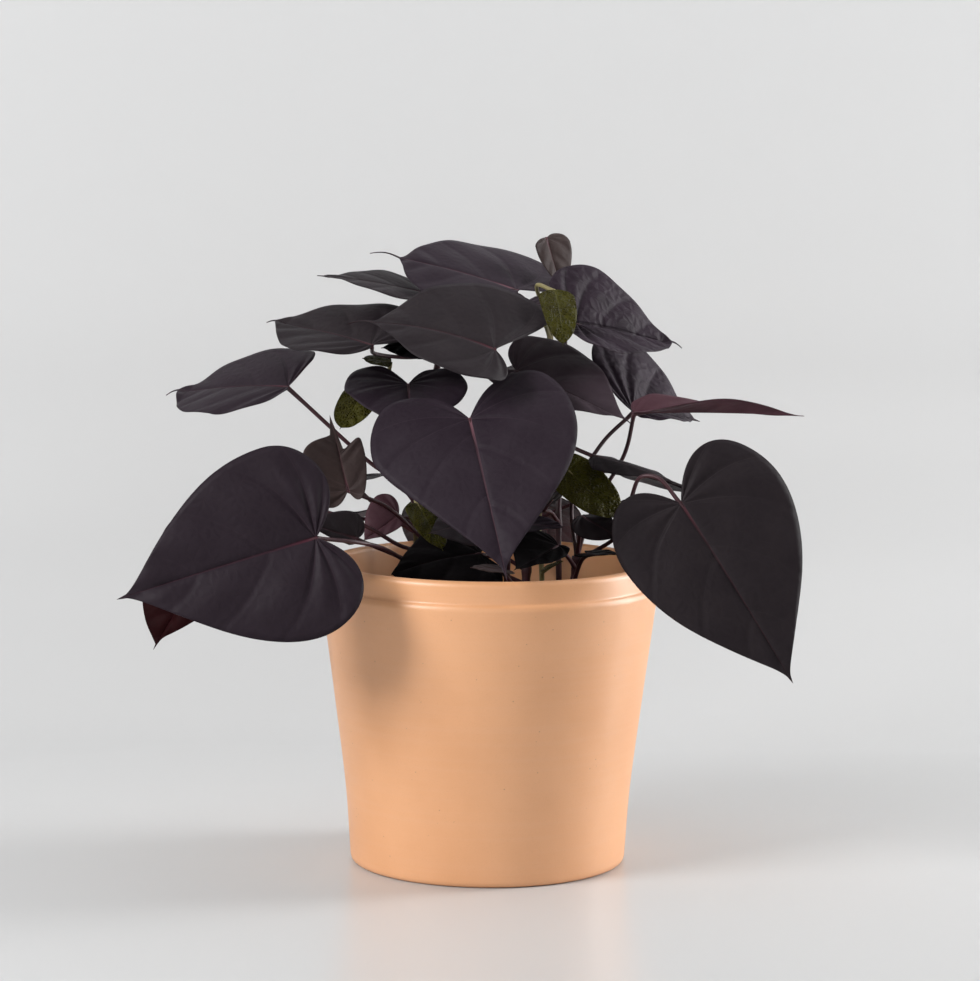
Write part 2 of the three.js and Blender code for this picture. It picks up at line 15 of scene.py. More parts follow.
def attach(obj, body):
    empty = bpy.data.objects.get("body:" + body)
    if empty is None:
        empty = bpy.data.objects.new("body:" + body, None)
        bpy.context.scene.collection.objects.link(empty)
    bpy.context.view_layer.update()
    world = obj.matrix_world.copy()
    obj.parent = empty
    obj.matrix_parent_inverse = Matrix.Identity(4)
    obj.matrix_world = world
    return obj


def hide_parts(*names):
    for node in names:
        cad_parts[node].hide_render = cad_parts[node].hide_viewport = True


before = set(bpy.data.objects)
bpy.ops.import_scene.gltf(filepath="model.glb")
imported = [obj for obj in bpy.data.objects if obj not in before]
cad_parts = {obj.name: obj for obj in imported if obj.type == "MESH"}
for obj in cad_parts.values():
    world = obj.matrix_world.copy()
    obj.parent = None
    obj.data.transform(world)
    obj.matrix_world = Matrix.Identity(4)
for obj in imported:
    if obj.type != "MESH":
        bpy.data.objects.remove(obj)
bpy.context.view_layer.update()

MM = 0.001

# ---------------------------------------------------------------- camera and light

CAMERA_PLACE = (0.0, -1.969, 0.4507)
CAMERA_PITCH = math.radians(6.65)  # how far it looks down
CAMERA_ROLL = math.radians(0.43)
FOCAL_PIXELS = 3348
IMAGE_PIXELS = 981  # the longer side of the picture
SENSOR = 36.0

LIGHT_AIM = (0.0, 0.0, 0.2)
LIGHTS = {  # each light's place, its width and height, and its power in watts
    "left": ((-1.6, -1.05, 1.3), (0.9, 0.9), 44),
    "right": ((1.5, 0.4, 0.6), (0.6, 1.4), 36),
    "front": ((0.35, -2.2, 0.8), (1.2, 1.2), 6),
    "top": ((0.1, 0.1, 1.9), (1.4, 1.2), 5),
}
WORLD_STRENGTH = 0.17

# The stage's board, in metres.
BOARD_FRONT = -3.0
BOARD_FLAT = (-1.5, 0.34)  # its evenly divided flat stretch, which ends at the turn
BOARD_TURN = 0.25  # the radius of the quarter circle
BOARD_TOP = 4.0
BOARD_HALF_WIDTH = 3.5
BOARD_DROP = 0.0002  # below the pot's foot, so that the two faces don't coincide
BOARD_GLOW = 0.12  # the backdrop's own light
BOARD_COLOUR = (0.55, 0.553, 0.555)

# ---------------------------------------------------------------- the pot and its soil

POT_HEIGHT = 180
POT_RADIUS = 100  # at the ridge under the collar
COLLAR_RADIUS = 97.8
COLLAR_HEIGHT = 17
LIP_ROUND = 4
FOOT_RADIUS = 79
FOOT_ROUND = 3
POT_WALL = 7
POT_FLOOR = 8
FLOOR_ROUND = 8
POT_SIDES = 224
POT_WOBBLE = 0.0006  # how far the wall is out of round, as a share of its radius
WALL_STEPS = 60
CORNER_STEPS = 8

SOIL_TOP = 150
SOIL_GAP = 0.4  # between the soil and the pot's wall
SOIL_LUMPS = 2.2
SOIL_GRAIN = 0.25
SOIL_RINGS = 110
SOIL_SIDES = 220
CRUMBS = 700
CRUMB_RADII = (1.2, 4.2)
CRUMB_HEIGHTS = (0.4, 0.8)  # as a share of the crumb's radius
CRUMB_STRETCH = (0.7, 1.4)

# ---------------------------------------------------------------- stems

# Each stem rises from the soil through its points, in millimetres.
STEMS = {
    "centre": dict(radius=2.2, points=[(-18, 10, 150), (-24, 14, 205), (-34, 34, 262), (-30, 36, 300),
                                       (-16, 32, 322), (-2, 28, 332)]),
    "right": dict(radius=1.8, points=[(42, 14, 150), (41, 16, 200), (42, 32, 250), (44, 42, 295),
                                      (45, 50, 330)]),
    "front": dict(radius=2.0, points=[(10, -10, 150), (10, -12, 180), (4, -12, 215), (-9, -14, 242)]),
    "left": dict(radius=2.0, points=[(-34, 2, 150), (-35, 0, 175), (-40, -4, 198)]),
    "side": dict(radius=2.0, points=[(48, -4, 150), (50, -5, 170), (52, -5, 184)]),
    "back": dict(radius=2.2, points=[(22, 50, 150), (24, 56, 195), (26, 60, 245), (28, 58, 286)]),
    "companion_right": dict(radius=1.5, points=[(31, -14, 150), (31, -14, 170), (29, 8, 205), (30, 34, 250),
                                                (33, 46, 290), (36, 42, 312)]),
    "companion_left": dict(radius=1.5, points=[(-44, 10, 150), (-44, 12, 180), (-46, 14, 215), (-58, 20, 246),
                                               (-66, 34, 268)]),
}
ROOT_DEPTH = 16
STALK_RADIUS = 1.3
STALK_SIDES = 14
STEM_SIDES = 18
STALK_RUN_ON = 9  # how far a stalk's end runs on under the midrib
NODE_SWELL = 0.55  # how far a stem thickens where a stalk leaves it
NODE_LENGTH = 3.2
SAMPLES_PER_MM = 0.6  # along a stem or a stalk

# ---------------------------------------------------------------- leaves

# base is where the stalk meets the blade, and tip is the blade's point. roll turns the blade about the
# line from base to tip. fold lifts the halves from the midrib, cup curls them towards their edges, droop
# arches the midrib and twist turns the blade from base to tip. A pair is for the half on the left of
# someone looking from base to tip, then for the right half. The settings in USUAL_OUTLINE shape the
# outline. at is where the stalk leaves its stem, from 0 at the stem's root to 1 at its top, and via are
# points that it passes. quilt is how far the blade swells between its veins, and arch how high the drip
# tip arches, both in millimetres. tone names the blade's colouring.
BACK = dict(cup=-12, tail=0.1)
GREEN = dict(blunt=1, tone="olive")
LEAVES = {
    "front_heart": dict(
        stem="front", at=0.97, via=[(-12, -32, 261)], base=(-12, -48, 268), tip=(10, -112, 183), width=120,
        roll=20, fold=6, cup=-14, droop=24, full=(0.5, 0.3), lobe=(1.35, 1.25), tail=0.07, tone="violet",
        quilt=0.5),
    "left_large": dict(
        stem="left", at=0.55, via=[(-55, -34, 187), (-71, -76, 199)], base=(-98, -98, 205),
        tip=(-209, -112, 171), width=(111, 116), roll=-72, fold=8, cup=-12, droop=10, full=(0.48, 0.56),
        lobe=(0.85, 0.75), tone="plum", quilt=1.6),
    "left_under": dict(
        stem="left", at=0.8, via=[(-52, -18, 190), (-76, -26, 204), (-120, -28, 214)], base=(-160, -40, 192),
        tip=(-195, -47, 132), width=(40, 66), roll=-55, fold=6, cup=-10, full=0.7, blunt=(0, 0.8),
        tone="wine"),
    "left_tucked": dict(
        stem="left", at=0.62, via=[(-52, -24, 184)], base=(-77, -40, 197), tip=(-108, -52, 208),
        width=(10, 30), roll=-72, lobe=(0.2, 0.6), tone="charcoal"),
    "left_upright": dict(
        stem="left", at=0.9, via=[(-60, -14, 212)], base=(-83, -28, 224), tip=(-94, -20, 267), width=(50, 30),
        roll=-45, fold=10, twist=20, widest=(0.35, 0.5), full=0.8, lobe=1.2, tail=(0.25, 0.46),
        neck=(0.12, 0.2), blunt=(0.8, 1), tone="brown"),
    "left_upper": dict(
        stem="left", at=1, via=[(-46, -4, 216), (-60, -6, 230), (-71, -6, 238)], base=(-119, -12, 283),
        tip=(-194, 25, 274), width=(74, 84), roll=-28, fold=(12, 6), cup=-12, droop=15, widest=(0.4, 0.14),
        full=(0.76, 0.57), lobe=(0.4, 0.4), spread=(0, 1), tail=0.12, blunt=(0.9, 0.4), tone="plum", arch=2),
    "left_shoulder": dict(
        stem="centre", at=0.66, via=[(-50, 36, 297), (-68, 20, 300)], base=(-70, -15, 308),
        tip=(-134, 25, 318), width=(68, 88), roll=-28, fold=(18, 2), cup=-10, droop=15, widest=(0.4, 0.14),
        full=(0.62, 0.5), lobe=(0.4, 1.1), tail=0.1, blunt=(0.6, 0.4), tone="charcoal", arch=2, quilt=0.8),
    "left_curled": dict(
        stem="left", at=0.97, via=[], base=(-54, -1, 206), tip=(-75, -5, 191), width=(16, 36), roll=-60,
        fold=(20, 0), lobe=(0.4, 0.9), blunt=0.6, tone="rose"),
    "crown_centre": dict(
        stem="centre", at=0.8, via=[(-8, -8, 300)], base=(2, -40, 308), tip=(-84, -14, 320), width=(64, 104),
        roll=-34, cup=(6, 0), droop=36, full=(0.5, 0.62), lobe=(0.8, 1), spread=(0, 1), tail=0.17,
        blunt=(0.2, 0.3), tone="charcoal", arch=1.5),
    "crown_top": dict(
        stem="centre", at=1, via=[(6, 32, 333)], base=(15, 38, 338), tip=(-73, 40, 359), width=(80, 106),
        roll=-24, cup=-8, droop=14, full=(0.8, 0.62), lobe=(0.25, 1.5), spread=(0, 0.3), tail=0.2,
        blunt=(0.8, 0.5), tone="violet", arch=2, quilt=1.0),
    "crown_left": dict(
        stem="centre", at=0.9, via=[(-30, 32, 328)], base=(-39, 30, 336), tip=(-103, 10, 347), width=(50, 60),
        roll=-14, droop=10, tone="charcoal"),
    "crown_bud": dict(
        stem="centre", at=0.97, via=[(10, 18, 322)], base=(20, 15, 330), tip=(34, 5, 332), width=18, roll=30,
        full=0.8, lobe=0.5, tail=0.02, blunt=1, tone="violet"),
    "crown_small": dict(
        stem="right", at=1, via=[(44, 66, 348)], base=(33, 60, 368), tip=(42, 52, 338), width=(32, 22),
        roll=25, fold=(-10, 20), full=0.7, lobe=(0.5, 0.15), tone="brown"),
    "crown_right": dict(
        stem="right", at=0.93, via=[(50, 22, 314)], base=(50, 8, 320), tip=(115, 45, 303), width=(84, 62),
        roll=34, fold=(22, 10), droop=12, lobe=(0.9, 0.7), tail=0.12, blunt=(0.3, 0.9), tone="slate", arch=2,
        quilt=1.6),
    "right_middle": dict(
        stem="side", at=0.95, via=[(49, 2, 216), (66, 12, 248)], base=(85, 16, 267), tip=(127, 54, 258),
        width=(112, 44), roll=38, fold=(14, 30), droop=10, full=(0.78, 0.5), lobe=(1.3, 0.5), tail=0.08,
        tone="slate", quilt=1.4),
    "right_spear": dict(
        stem="side", at=1, via=[(61, -3, 211), (79, 3, 242)], base=(84, -18, 270), tip=(183, -24, 269),
        width=(30, 32), roll=0, fold=(50, 0), twist=-80, droop=6, full=0.6, lobe=0.2, tone="rose"),
    "centre_right": dict(
        stem="right", at=0.72, via=[(28, 14, 286)], base=(15, 4, 292), tip=(83, -26, 263), width=(78, 42),
        roll=32, fold=(4, 10), cup=-12, droop=12, tail=0.08, tone="mauve", arch=1.5, quilt=0.8),
    "centre_left": dict(
        stem="centre", at=0.55, via=[(-47, 17, 266)], base=(-49, 10, 283), tip=(-46, -36, 257),
        width=(70, 76), roll=0, fold=6, cup=-8, full=0.4, lobe=1.5, tone="violet"),
    # Painted shade: this leaf is drawn near-black for the shadow under the crown.
    "under_crown": dict(
        stem="centre", at=0.72, via=[(-34, 20, 304)], base=(-40, 4, 308), tip=(-65, 2, 305), width=32,
        roll=-30, tone="shade"),
    "right_thin": dict(
        stem="right", at=0.6, via=[(49, 2, 247)], base=(62, -14, 244), tip=(112, -48, 230), width=(38, 28),
        roll=6, fold=-16, droop=10, lobe=0.2, tail=0.1, tone="charcoal"),
    "right_large": dict(
        stem="side", at=0.9, via=[(76, -28, 200), (82, -40, 222), (87, -47, 235), (97, -52, 235)],
        base=(110, -58, 221), tip=(174, -82, 121), width=(118, 98), roll=58, fold=4, cup=-12, droop=14,
        full=(0.52, 0.56), lobe=(1, 0.85), tail=0.04, tone="charcoal", quilt=0.9),
    # Painted shade: the near-black mouth leaves stand for the shadow inside the pot's mouth.
    "mouth_left": dict(
        stem="front", at=0.5, via=[(2, -18, 184)], base=(-6, -24, 187), tip=(-57, -46, 177), width=(76, 60),
        roll=-25, droop=20, full=(0.8, 0.6), lobe=(0.5, 1), tail=0.01, blunt=(1, 0.4), tone="shade"),
    "mouth_back": dict(
        stem="front", at=0.65, via=[], base=(-8, -20, 206), tip=(-36, -46, 201), width=(42, 30), roll=-35,
        tone="charcoal"),
    "mouth_front": dict(
        stem="front", at=0.3, via=[(14, -34, 168)], base=(8, -50, 181), tip=(-11, -64, 184), width=18,
        roll=-10, full=0.8, tone="brown"),
    "mouth_centre": dict(
        stem="side", at=0.8, via=[(46, -16, 184)], base=(40, -26, 192), tip=(14, -60, 182), width=(18, 46),
        roll=-28, lobe=0.6, tone="shade"),
    "mouth_sheen": dict(
        stem="front", at=0.7, via=[], base=(18, -18, 204), tip=(44, -36, 204), width=28, roll=14, lobe=0.6,
        tone="violet"),
    "mouth_dark": dict(
        stem="right", at=0.4, via=[(36, 4, 208)], base=(31, -4, 211), tip=(48, -10, 229), width=34, roll=0,
        tone="shade"),
    "mouth_twisted": dict(
        stem="side", at=1, via=[], base=(54, -20, 209), tip=(76, -38, 198), width=24, roll=10, twist=90,
        fold=-12, lobe=0.3, tone="charcoal"),
    "mouth_right": dict(
        stem="side", at=0.6, via=[(54, -18, 182)], base=(57, -28, 188), tip=(76, -46, 190), width=18, roll=8,
        tone="shade"),
    "back_left": dict(
        stem="back", at=0.35, via=[(-30, 62, 194)], base=(-98, 56, 197), tip=(-178, 92, 158), width=88,
        roll=0, droop=20, **BACK, tone="plum", arch=2, quilt=1.2),
    "back_right": dict(
        stem="back", at=0.5, via=[(60, 60, 208)], base=(108, 58, 200), tip=(170, 98, 140), width=84, roll=0,
        droop=20, **BACK, tone="violet", arch=2, quilt=1.2),
    "back_side_left": dict(
        stem="back", at=0.3, via=[(-52, 58, 192), (-77, 55, 212)], base=(-85, 54, 222), tip=(-148, 88, 196),
        width=72, roll=0, droop=20, **BACK, tone="charcoal", arch=1.5),
    "back_side_right": dict(
        stem="back", at=0.55, via=[(60, 56, 226)], base=(94, 52, 226), tip=(146, 84, 198), width=62, roll=0,
        droop=20, **BACK, tone="plum", arch=1.5),
    "back_upper": dict(
        stem="back", at=0.97, via=[(31, 74, 286)], base=(36, 90, 288), tip=(54, 146, 262), width=62, roll=0,
        droop=18, **BACK, tone="violet", arch=1.5),
    "back_low_left": dict(
        stem="back", at=0.4, via=[(-6, 76, 205)], base=(-24, 92, 208), tip=(-46, 158, 150), width=54, roll=0,
        droop=24, **BACK, tone="charcoal", arch=2),
    "back_low_right": dict(
        stem="back", at=0.35, via=[(26, 76, 196)], base=(30, 92, 202), tip=(44, 156, 146), width=54, roll=0,
        droop=24, **BACK, tone="plum", arch=2),
    "back_middle": dict(
        stem="back", at=0.7, via=[(14, 74, 246)], base=(6, 82, 252), tip=(0, 142, 206), width=84, roll=0,
        droop=20, **BACK, tone="violet", arch=2, quilt=1.2),
    "back_high_left": dict(
        stem="centre", at=0.66, via=[(-29, 54, 308)], base=(-28, 64, 312), tip=(-46, 118, 296), width=50,
        roll=0, droop=18, **BACK, tone="plum", arch=1.5),
    "back_high_right": dict(
        stem="right", at=0.97, via=[(56, 60, 320)], base=(68, 68, 318), tip=(96, 122, 292), width=60, roll=0,
        droop=18, **BACK, tone="charcoal", arch=1.5),
    "back_crown": dict(
        stem="centre", at=0.9, via=[(-8, 54, 330)], base=(-8, 66, 334), tip=(-16, 124, 312), width=60, roll=0,
        droop=18, **BACK, tone="violet", arch=1.5),
    "green_top": dict(
        stem="companion_right", at=1, via=[(30, 27, 330), (27, 15, 342)], base=(37, 1, 340),
        tip=(42, -18, 308), width=22, roll=0, droop=50, full=0.8, lobe=0.1, **GREEN),
    "green_shaded": dict(
        stem="companion_right", at=0.97, via=[(32, 22, 318)], base=(28, 8, 323), tip=(13, 2, 313), width=20,
        roll=-20, full=0.8, **GREEN),
    "green_right": dict(
        stem="companion_right", at=0.5, via=[(34, 2, 226)], base=(46, -14, 235), tip=(76, -34, 209), width=32,
        roll=30, full=0.8, **GREEN),
    "green_left": dict(
        stem="companion_left", at=1, via=[(-73, 22, 271)], base=(-76, 13, 277), tip=(-89, -2, 257), width=24,
        roll=-20, full=0.8, **GREEN),
    "green_cap": dict(
        stem="companion_left", at=1, via=[(-62, 34, 284)], base=(-60, 28, 295), tip=(-77, 26, 297), width=14,
        roll=-25, full=0.8, lobe=0.3, **GREEN),
    "green_low": dict(
        stem="companion_left", at=0.62, via=[(-46, -2, 224)], base=(-42, -22, 215), tip=(-27, -38, 190),
        width=24, roll=0, full=0.8, lobe=0.4, **GREEN),
    "green_foot": dict(
        stem="companion_right", at=0.22, via=[(31, -20, 174)], base=(31, -26, 178), tip=(43, -34, 184),
        width=9, roll=20, full=0.8, lobe=0.2, **GREEN),
}
USUAL_OUTLINE = dict(
    widest=0.14,  # the widest place, in blade lengths ahead of the stalk
    full=0.54,  # how full the fore part is, up to 1
    blunt=0.3,  # how far the shoulders swell next to the drip tip, up to 1
    tail=0.05,  # the drip tip's share of the blade's length
    neck=0.02,  # the drip tip's width at its root, as a share of the blade's
    lobe=1,  # how far the lobes reach back beside the stalk
    spread=0,  # how far the notch between the lobes opens, up to 1
)
TAIL_SHARE = 1 / 12  # the share of t in the drip tip
FORE_SHARE = 7 / 12  # the share of t ahead of the widest place
VEIN_LEAN = 0.6  # how far a side vein runs forward for each unit that it runs outward
SIDE_VEINS = 7  # for each half of a blade
VEIN_SWEEP = 0.07  # how far a side vein curves on towards the tip, in t
BLADE_THICKNESS = 0.5
RIB_RADIUS = 0.9
USUAL_QUILT = 0.6
EDGE_WAVE = 1.1  # how far a blade's edge rises and falls
BUCKLE = 0.8  # how far the halves swell and sink unevenly
GROOVE_DEPTH = 0.5
GROOVE_WIDTH = 1.6  # to each side of the midrib
FULL_RELIEF_WIDTH = 80  # a narrower blade has a lower relief
FULL_RIB_WIDTH = 70  # a narrower blade has a slimmer rib
SMALL_WIDTH = 48  # a narrower blade has the small grid
LARGE_GRID = (96, 21)  # rows from tip to notch, and columns in each half
SMALL_GRID = (60, 13)

# Each colouring of a blade: its upper face, its mottling, its side veins, its midrib near the stalk, and
# its underside. shine is the strength of its highlights, and veining replaces USUAL_VEINING.
USUAL_VEINING = dict(width=0.4, pillows=0.25, depth=0.0005)
TONES = {
    "violet": dict(face=(0.0195, 0.0115, 0.0185), mottle=(0.0235, 0.0150, 0.0225), vein=(0.042, 0.028, 0.038),
                   rib=(0.20, 0.09, 0.11), under=(0.028, 0.013, 0.022), shine=0.15),
    "plum": dict(face=(0.0205, 0.0130, 0.0190), mottle=(0.0175, 0.0105, 0.0160), vein=(0.034, 0.020, 0.028),
                 rib=(0.08, 0.018, 0.030), under=(0.032, 0.011, 0.017), shine=0.15),
    "charcoal": dict(face=(0.0160, 0.0112, 0.0138), mottle=(0.0190, 0.0135, 0.0160),
                     vein=(0.032, 0.025, 0.028), rib=(0.08, 0.026, 0.034), under=(0.024, 0.014, 0.017),
                     shine=0.15),
    "brown": dict(face=(0.048, 0.0310, 0.0290), mottle=(0.041, 0.0270, 0.0260), vein=(0.070, 0.048, 0.048),
                  rib=(0.12, 0.04, 0.055), under=(0.045, 0.030, 0.031), shine=0.15),
    "mauve": dict(face=(0.050, 0.0340, 0.0430), mottle=(0.042, 0.0280, 0.0360), vein=(0.070, 0.050, 0.060),
                  rib=(0.09, 0.05, 0.06), under=(0.030, 0.015, 0.020), shine=0.15),
    "rose": dict(face=(0.072, 0.0300, 0.0400), mottle=(0.064, 0.0260, 0.0350), vein=(0.09, 0.040, 0.050),
                 rib=(0.09, 0.03, 0.04), under=(0.072, 0.030, 0.040), shine=0.15),
    "wine": dict(face=(0.016, 0.0030, 0.0035), mottle=(0.012, 0.0020, 0.0025), vein=(0.030, 0.008, 0.010),
                 rib=(0.05, 0.010, 0.014), under=(0.022, 0.006, 0.007), shine=0.03),
    "slate": dict(face=(0.0280, 0.0170, 0.0270), mottle=(0.0200, 0.0120, 0.0190), vein=(0.008, 0.005, 0.008),
                  rib=(0.012, 0.007, 0.011), under=(0.034, 0.018, 0.025), shine=0.14,
                  veining=dict(width=0.8, pillows=0.5, depth=0.0009)),
    # Painted shade: near-black blades with weak highlights for leaves that lie deep in shadow, in the pot's
    # mouth and under the crown.
    "shade": dict(face=(0.002, 0.0014, 0.0018), mottle=(0.004, 0.003, 0.0035), vein=(0.006, 0.004, 0.005),
                  rib=(0.02, 0.008, 0.010), under=(0.005, 0.003, 0.0035), shine=0.04),
}

# The other finishes: a ground colour with its mottling, then what lies on it.
GREEN_UPPER = ((0.045, 0.042, 0.003), (0.028, 0.024, 0.002))
GREEN_UNDER = ((0.05, 0.047, 0.022), (0.04, 0.037, 0.015))
GREEN_NET = (0.085, 0.078, 0.012)
GREEN_VEINS = (0.09, 0.085, 0.02)
WINE_STEM = ((0.05, 0.012, 0.018), (0.03, 0.008, 0.012))
PALE_STEM = ((0.20, 0.17, 0.07), (0.13, 0.11, 0.045))
CLAY = ((0.79, 0.385, 0.178), (0.85, 0.430, 0.210))
CLAY_LINES = (0.84, 0.50, 0.31)
CLAY_SPECKS = (0.55, 0.25, 0.12)
# Painted shade in the clay's small pits.
CLAY_PIT_SHADE = (0.36, 0.16, 0.08)
SOIL = ((0.012, 0.008, 0.006), (0.045, 0.027, 0.017))
SOIL_SPECKS = (0.09, 0.06, 0.04)


# ---------------------------------------------------------------- meshes from arrays

def grid_quads(rows, columns, wrap=False):
    """The quads of a grid of points, row by row. With wrap, the last column joins the first."""
    index = np.arange(rows * columns).reshape(rows, columns)
    right = np.roll(index, -1, axis=1)
    if not wrap:
        index, right = index[:, :-1], right[:, :-1]
    return np.stack([index[:-1], index[1:], right[1:], right[:-1]], axis=-1).reshape(-1, 4)


def make_piece(name, points, quads, materials, nodes, maps=None, face_material=None):
    """Adds a piece to the plant. Points at one place become one vertex, so that poles and seams close, and
    a quad that loses a corner to that becomes a triangle. maps has a pair of numbers for each point."""
    _, first, joined = np.unique(np.round(points, 8), axis=0, return_index=True, return_inverse=True)
    corners = joined.reshape(-1)[quads]
    kept = corners != np.roll(corners, -1, axis=1)
    whole = kept.sum(axis=1) > 2
    corners, kept, sources = corners[whole], kept[whole], quads[whole]
    totals = kept.sum(axis=1)
    loops = corners[kept]
    mesh = bpy.data.meshes.new(name)
    mesh.vertices.add(len(first))
    mesh.vertices.foreach_set("co", points[first].astype(np.float32).ravel())
    mesh.loops.add(len(loops))
    mesh.loops.foreach_set("vertex_index", loops.astype(np.int32))
    mesh.polygons.add(len(totals))
    mesh.polygons.foreach_set("loop_start", (np.cumsum(totals) - totals).astype(np.int32))
    mesh.polygons.foreach_set("use_smooth", np.ones(len(totals), bool))
    if face_material is not None:
        mesh.polygons.foreach_set("material_index", face_material[whole].astype(np.int32))
    for title, values in (maps or {}).items():
        layer = mesh.uv_layers.new(name=title)
        layer.uv.foreach_set("vector", values[sources[kept]].astype(np.float32).ravel())
    mesh.update(calc_edges=True)
    mesh.validate()
    for material in materials:
        mesh.materials.append(material)
    piece = bpy.data.objects.new(name, mesh)
    bpy.context.scene.collection.objects.link(piece)
    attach(piece, "root")
    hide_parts(*nodes)
    return piece


def unit(vectors):
    """Each vector divided by its length."""
    return vectors / np.maximum(np.linalg.norm(vectors, axis=-1, keepdims=True), 1e-12)


def bezier(points, t):
    """A Bezier curve through its two ends, of degree 1 to 3: the sum of each point times its Bernstein
    polynomial in t."""
    degree = len(points) - 1
    t = np.asarray(t, float)[..., None]
    return sum(math.comb(degree, k) * t**k * (1 - t) ** (degree - k) * np.array(p, float)
               for k, p in enumerate(points))


def spline_through(points, samples, power):
    """A Catmull-Rom curve through the points. Its knots are the running sum of the distance between
    neighbours to the given power: 0.5 for a centripetal curve and 0 for a uniform one. Beyond each end
    stands a mirrored point. samples are from 0 to 1, with an equal share for each stretch."""
    p = np.array(points, float)
    p = np.vstack([2 * p[0] - p[1], p, 2 * p[-1] - p[-2]])
    place = np.clip(np.asarray(samples, float), 0, 1) * (len(points) - 1)
    k = np.minimum(place.astype(int), len(points) - 2)
    s = (place - k)[:, None]
    a, b, c, d = (p[k + i] for i in range(4))
    if power == 0:
        tangents = (c - a) / 2, (d - b) / 2
    else:
        ab, bc, cd = (np.maximum(np.linalg.norm(v, axis=1, keepdims=True) ** power, 1e-4)
                      for v in (b - a, c - b, d - c))
        tangents = (((b - a) / ab - (c - a) / (ab + bc) + (c - b) / bc) * bc,
                    ((c - b) / bc - (d - b) / (bc + cd) + (d - c) / cd) * bc)
    m, n = tangents
    return ((2 * s**3 - 3 * s**2 + 1) * b + (s**3 - 2 * s**2 + s) * m
            + (3 * s**2 - 2 * s**3) * c + (s**3 - s**2) * n)


# ---------------------------------------------------------------- blades

def pair(value):
    """Both halves' values of a setting that may be one number or one for each half."""
    return value if isinstance(value, tuple) else (value, value)


def half_outline(leaf, half, t):
    """Half of a heart's outline: the slim drip tip from (1, 0) to its root, the fore edge to the widest
    place, and the lobe back to the notch (0, 0). x is in blade lengths and y in half widths."""
    widest, full, blunt, tail, neck, lobe, spread = (pair(leaf.get(key, usual))[half]
                                                     for key, usual in USUAL_OUTLINE.items())
    root = (1 - tail, neck)
    shoulder = ((0.84 + 0.1 * blunt) * root[0], neck + 0.35 * blunt)
    side = (widest, 1)
    back = (widest - (0.3 + 0.35 * spread) * lobe, 1.02 + 0.08 * spread)
    inner = (-0.36 * (1 - 0.67 * spread) * lobe, 0.44)
    tip = bezier([(1, 0), root], np.clip(t / TAIL_SHARE, 0, 1))
    fore = bezier([root, shoulder, (full, 0.98), side],
                  np.clip((t - TAIL_SHARE) / (FORE_SHARE - TAIL_SHARE), 0, 1))
    lobe_edge = bezier([side, back, inner, (0, 0)], np.clip((t - FORE_SHARE) / (1 - FORE_SHARE), 0, 1))
    t = np.asarray(t)[..., None]
    return np.where(t < TAIL_SHARE, tip, np.where(t < FORE_SHARE, fore, lobe_edge))


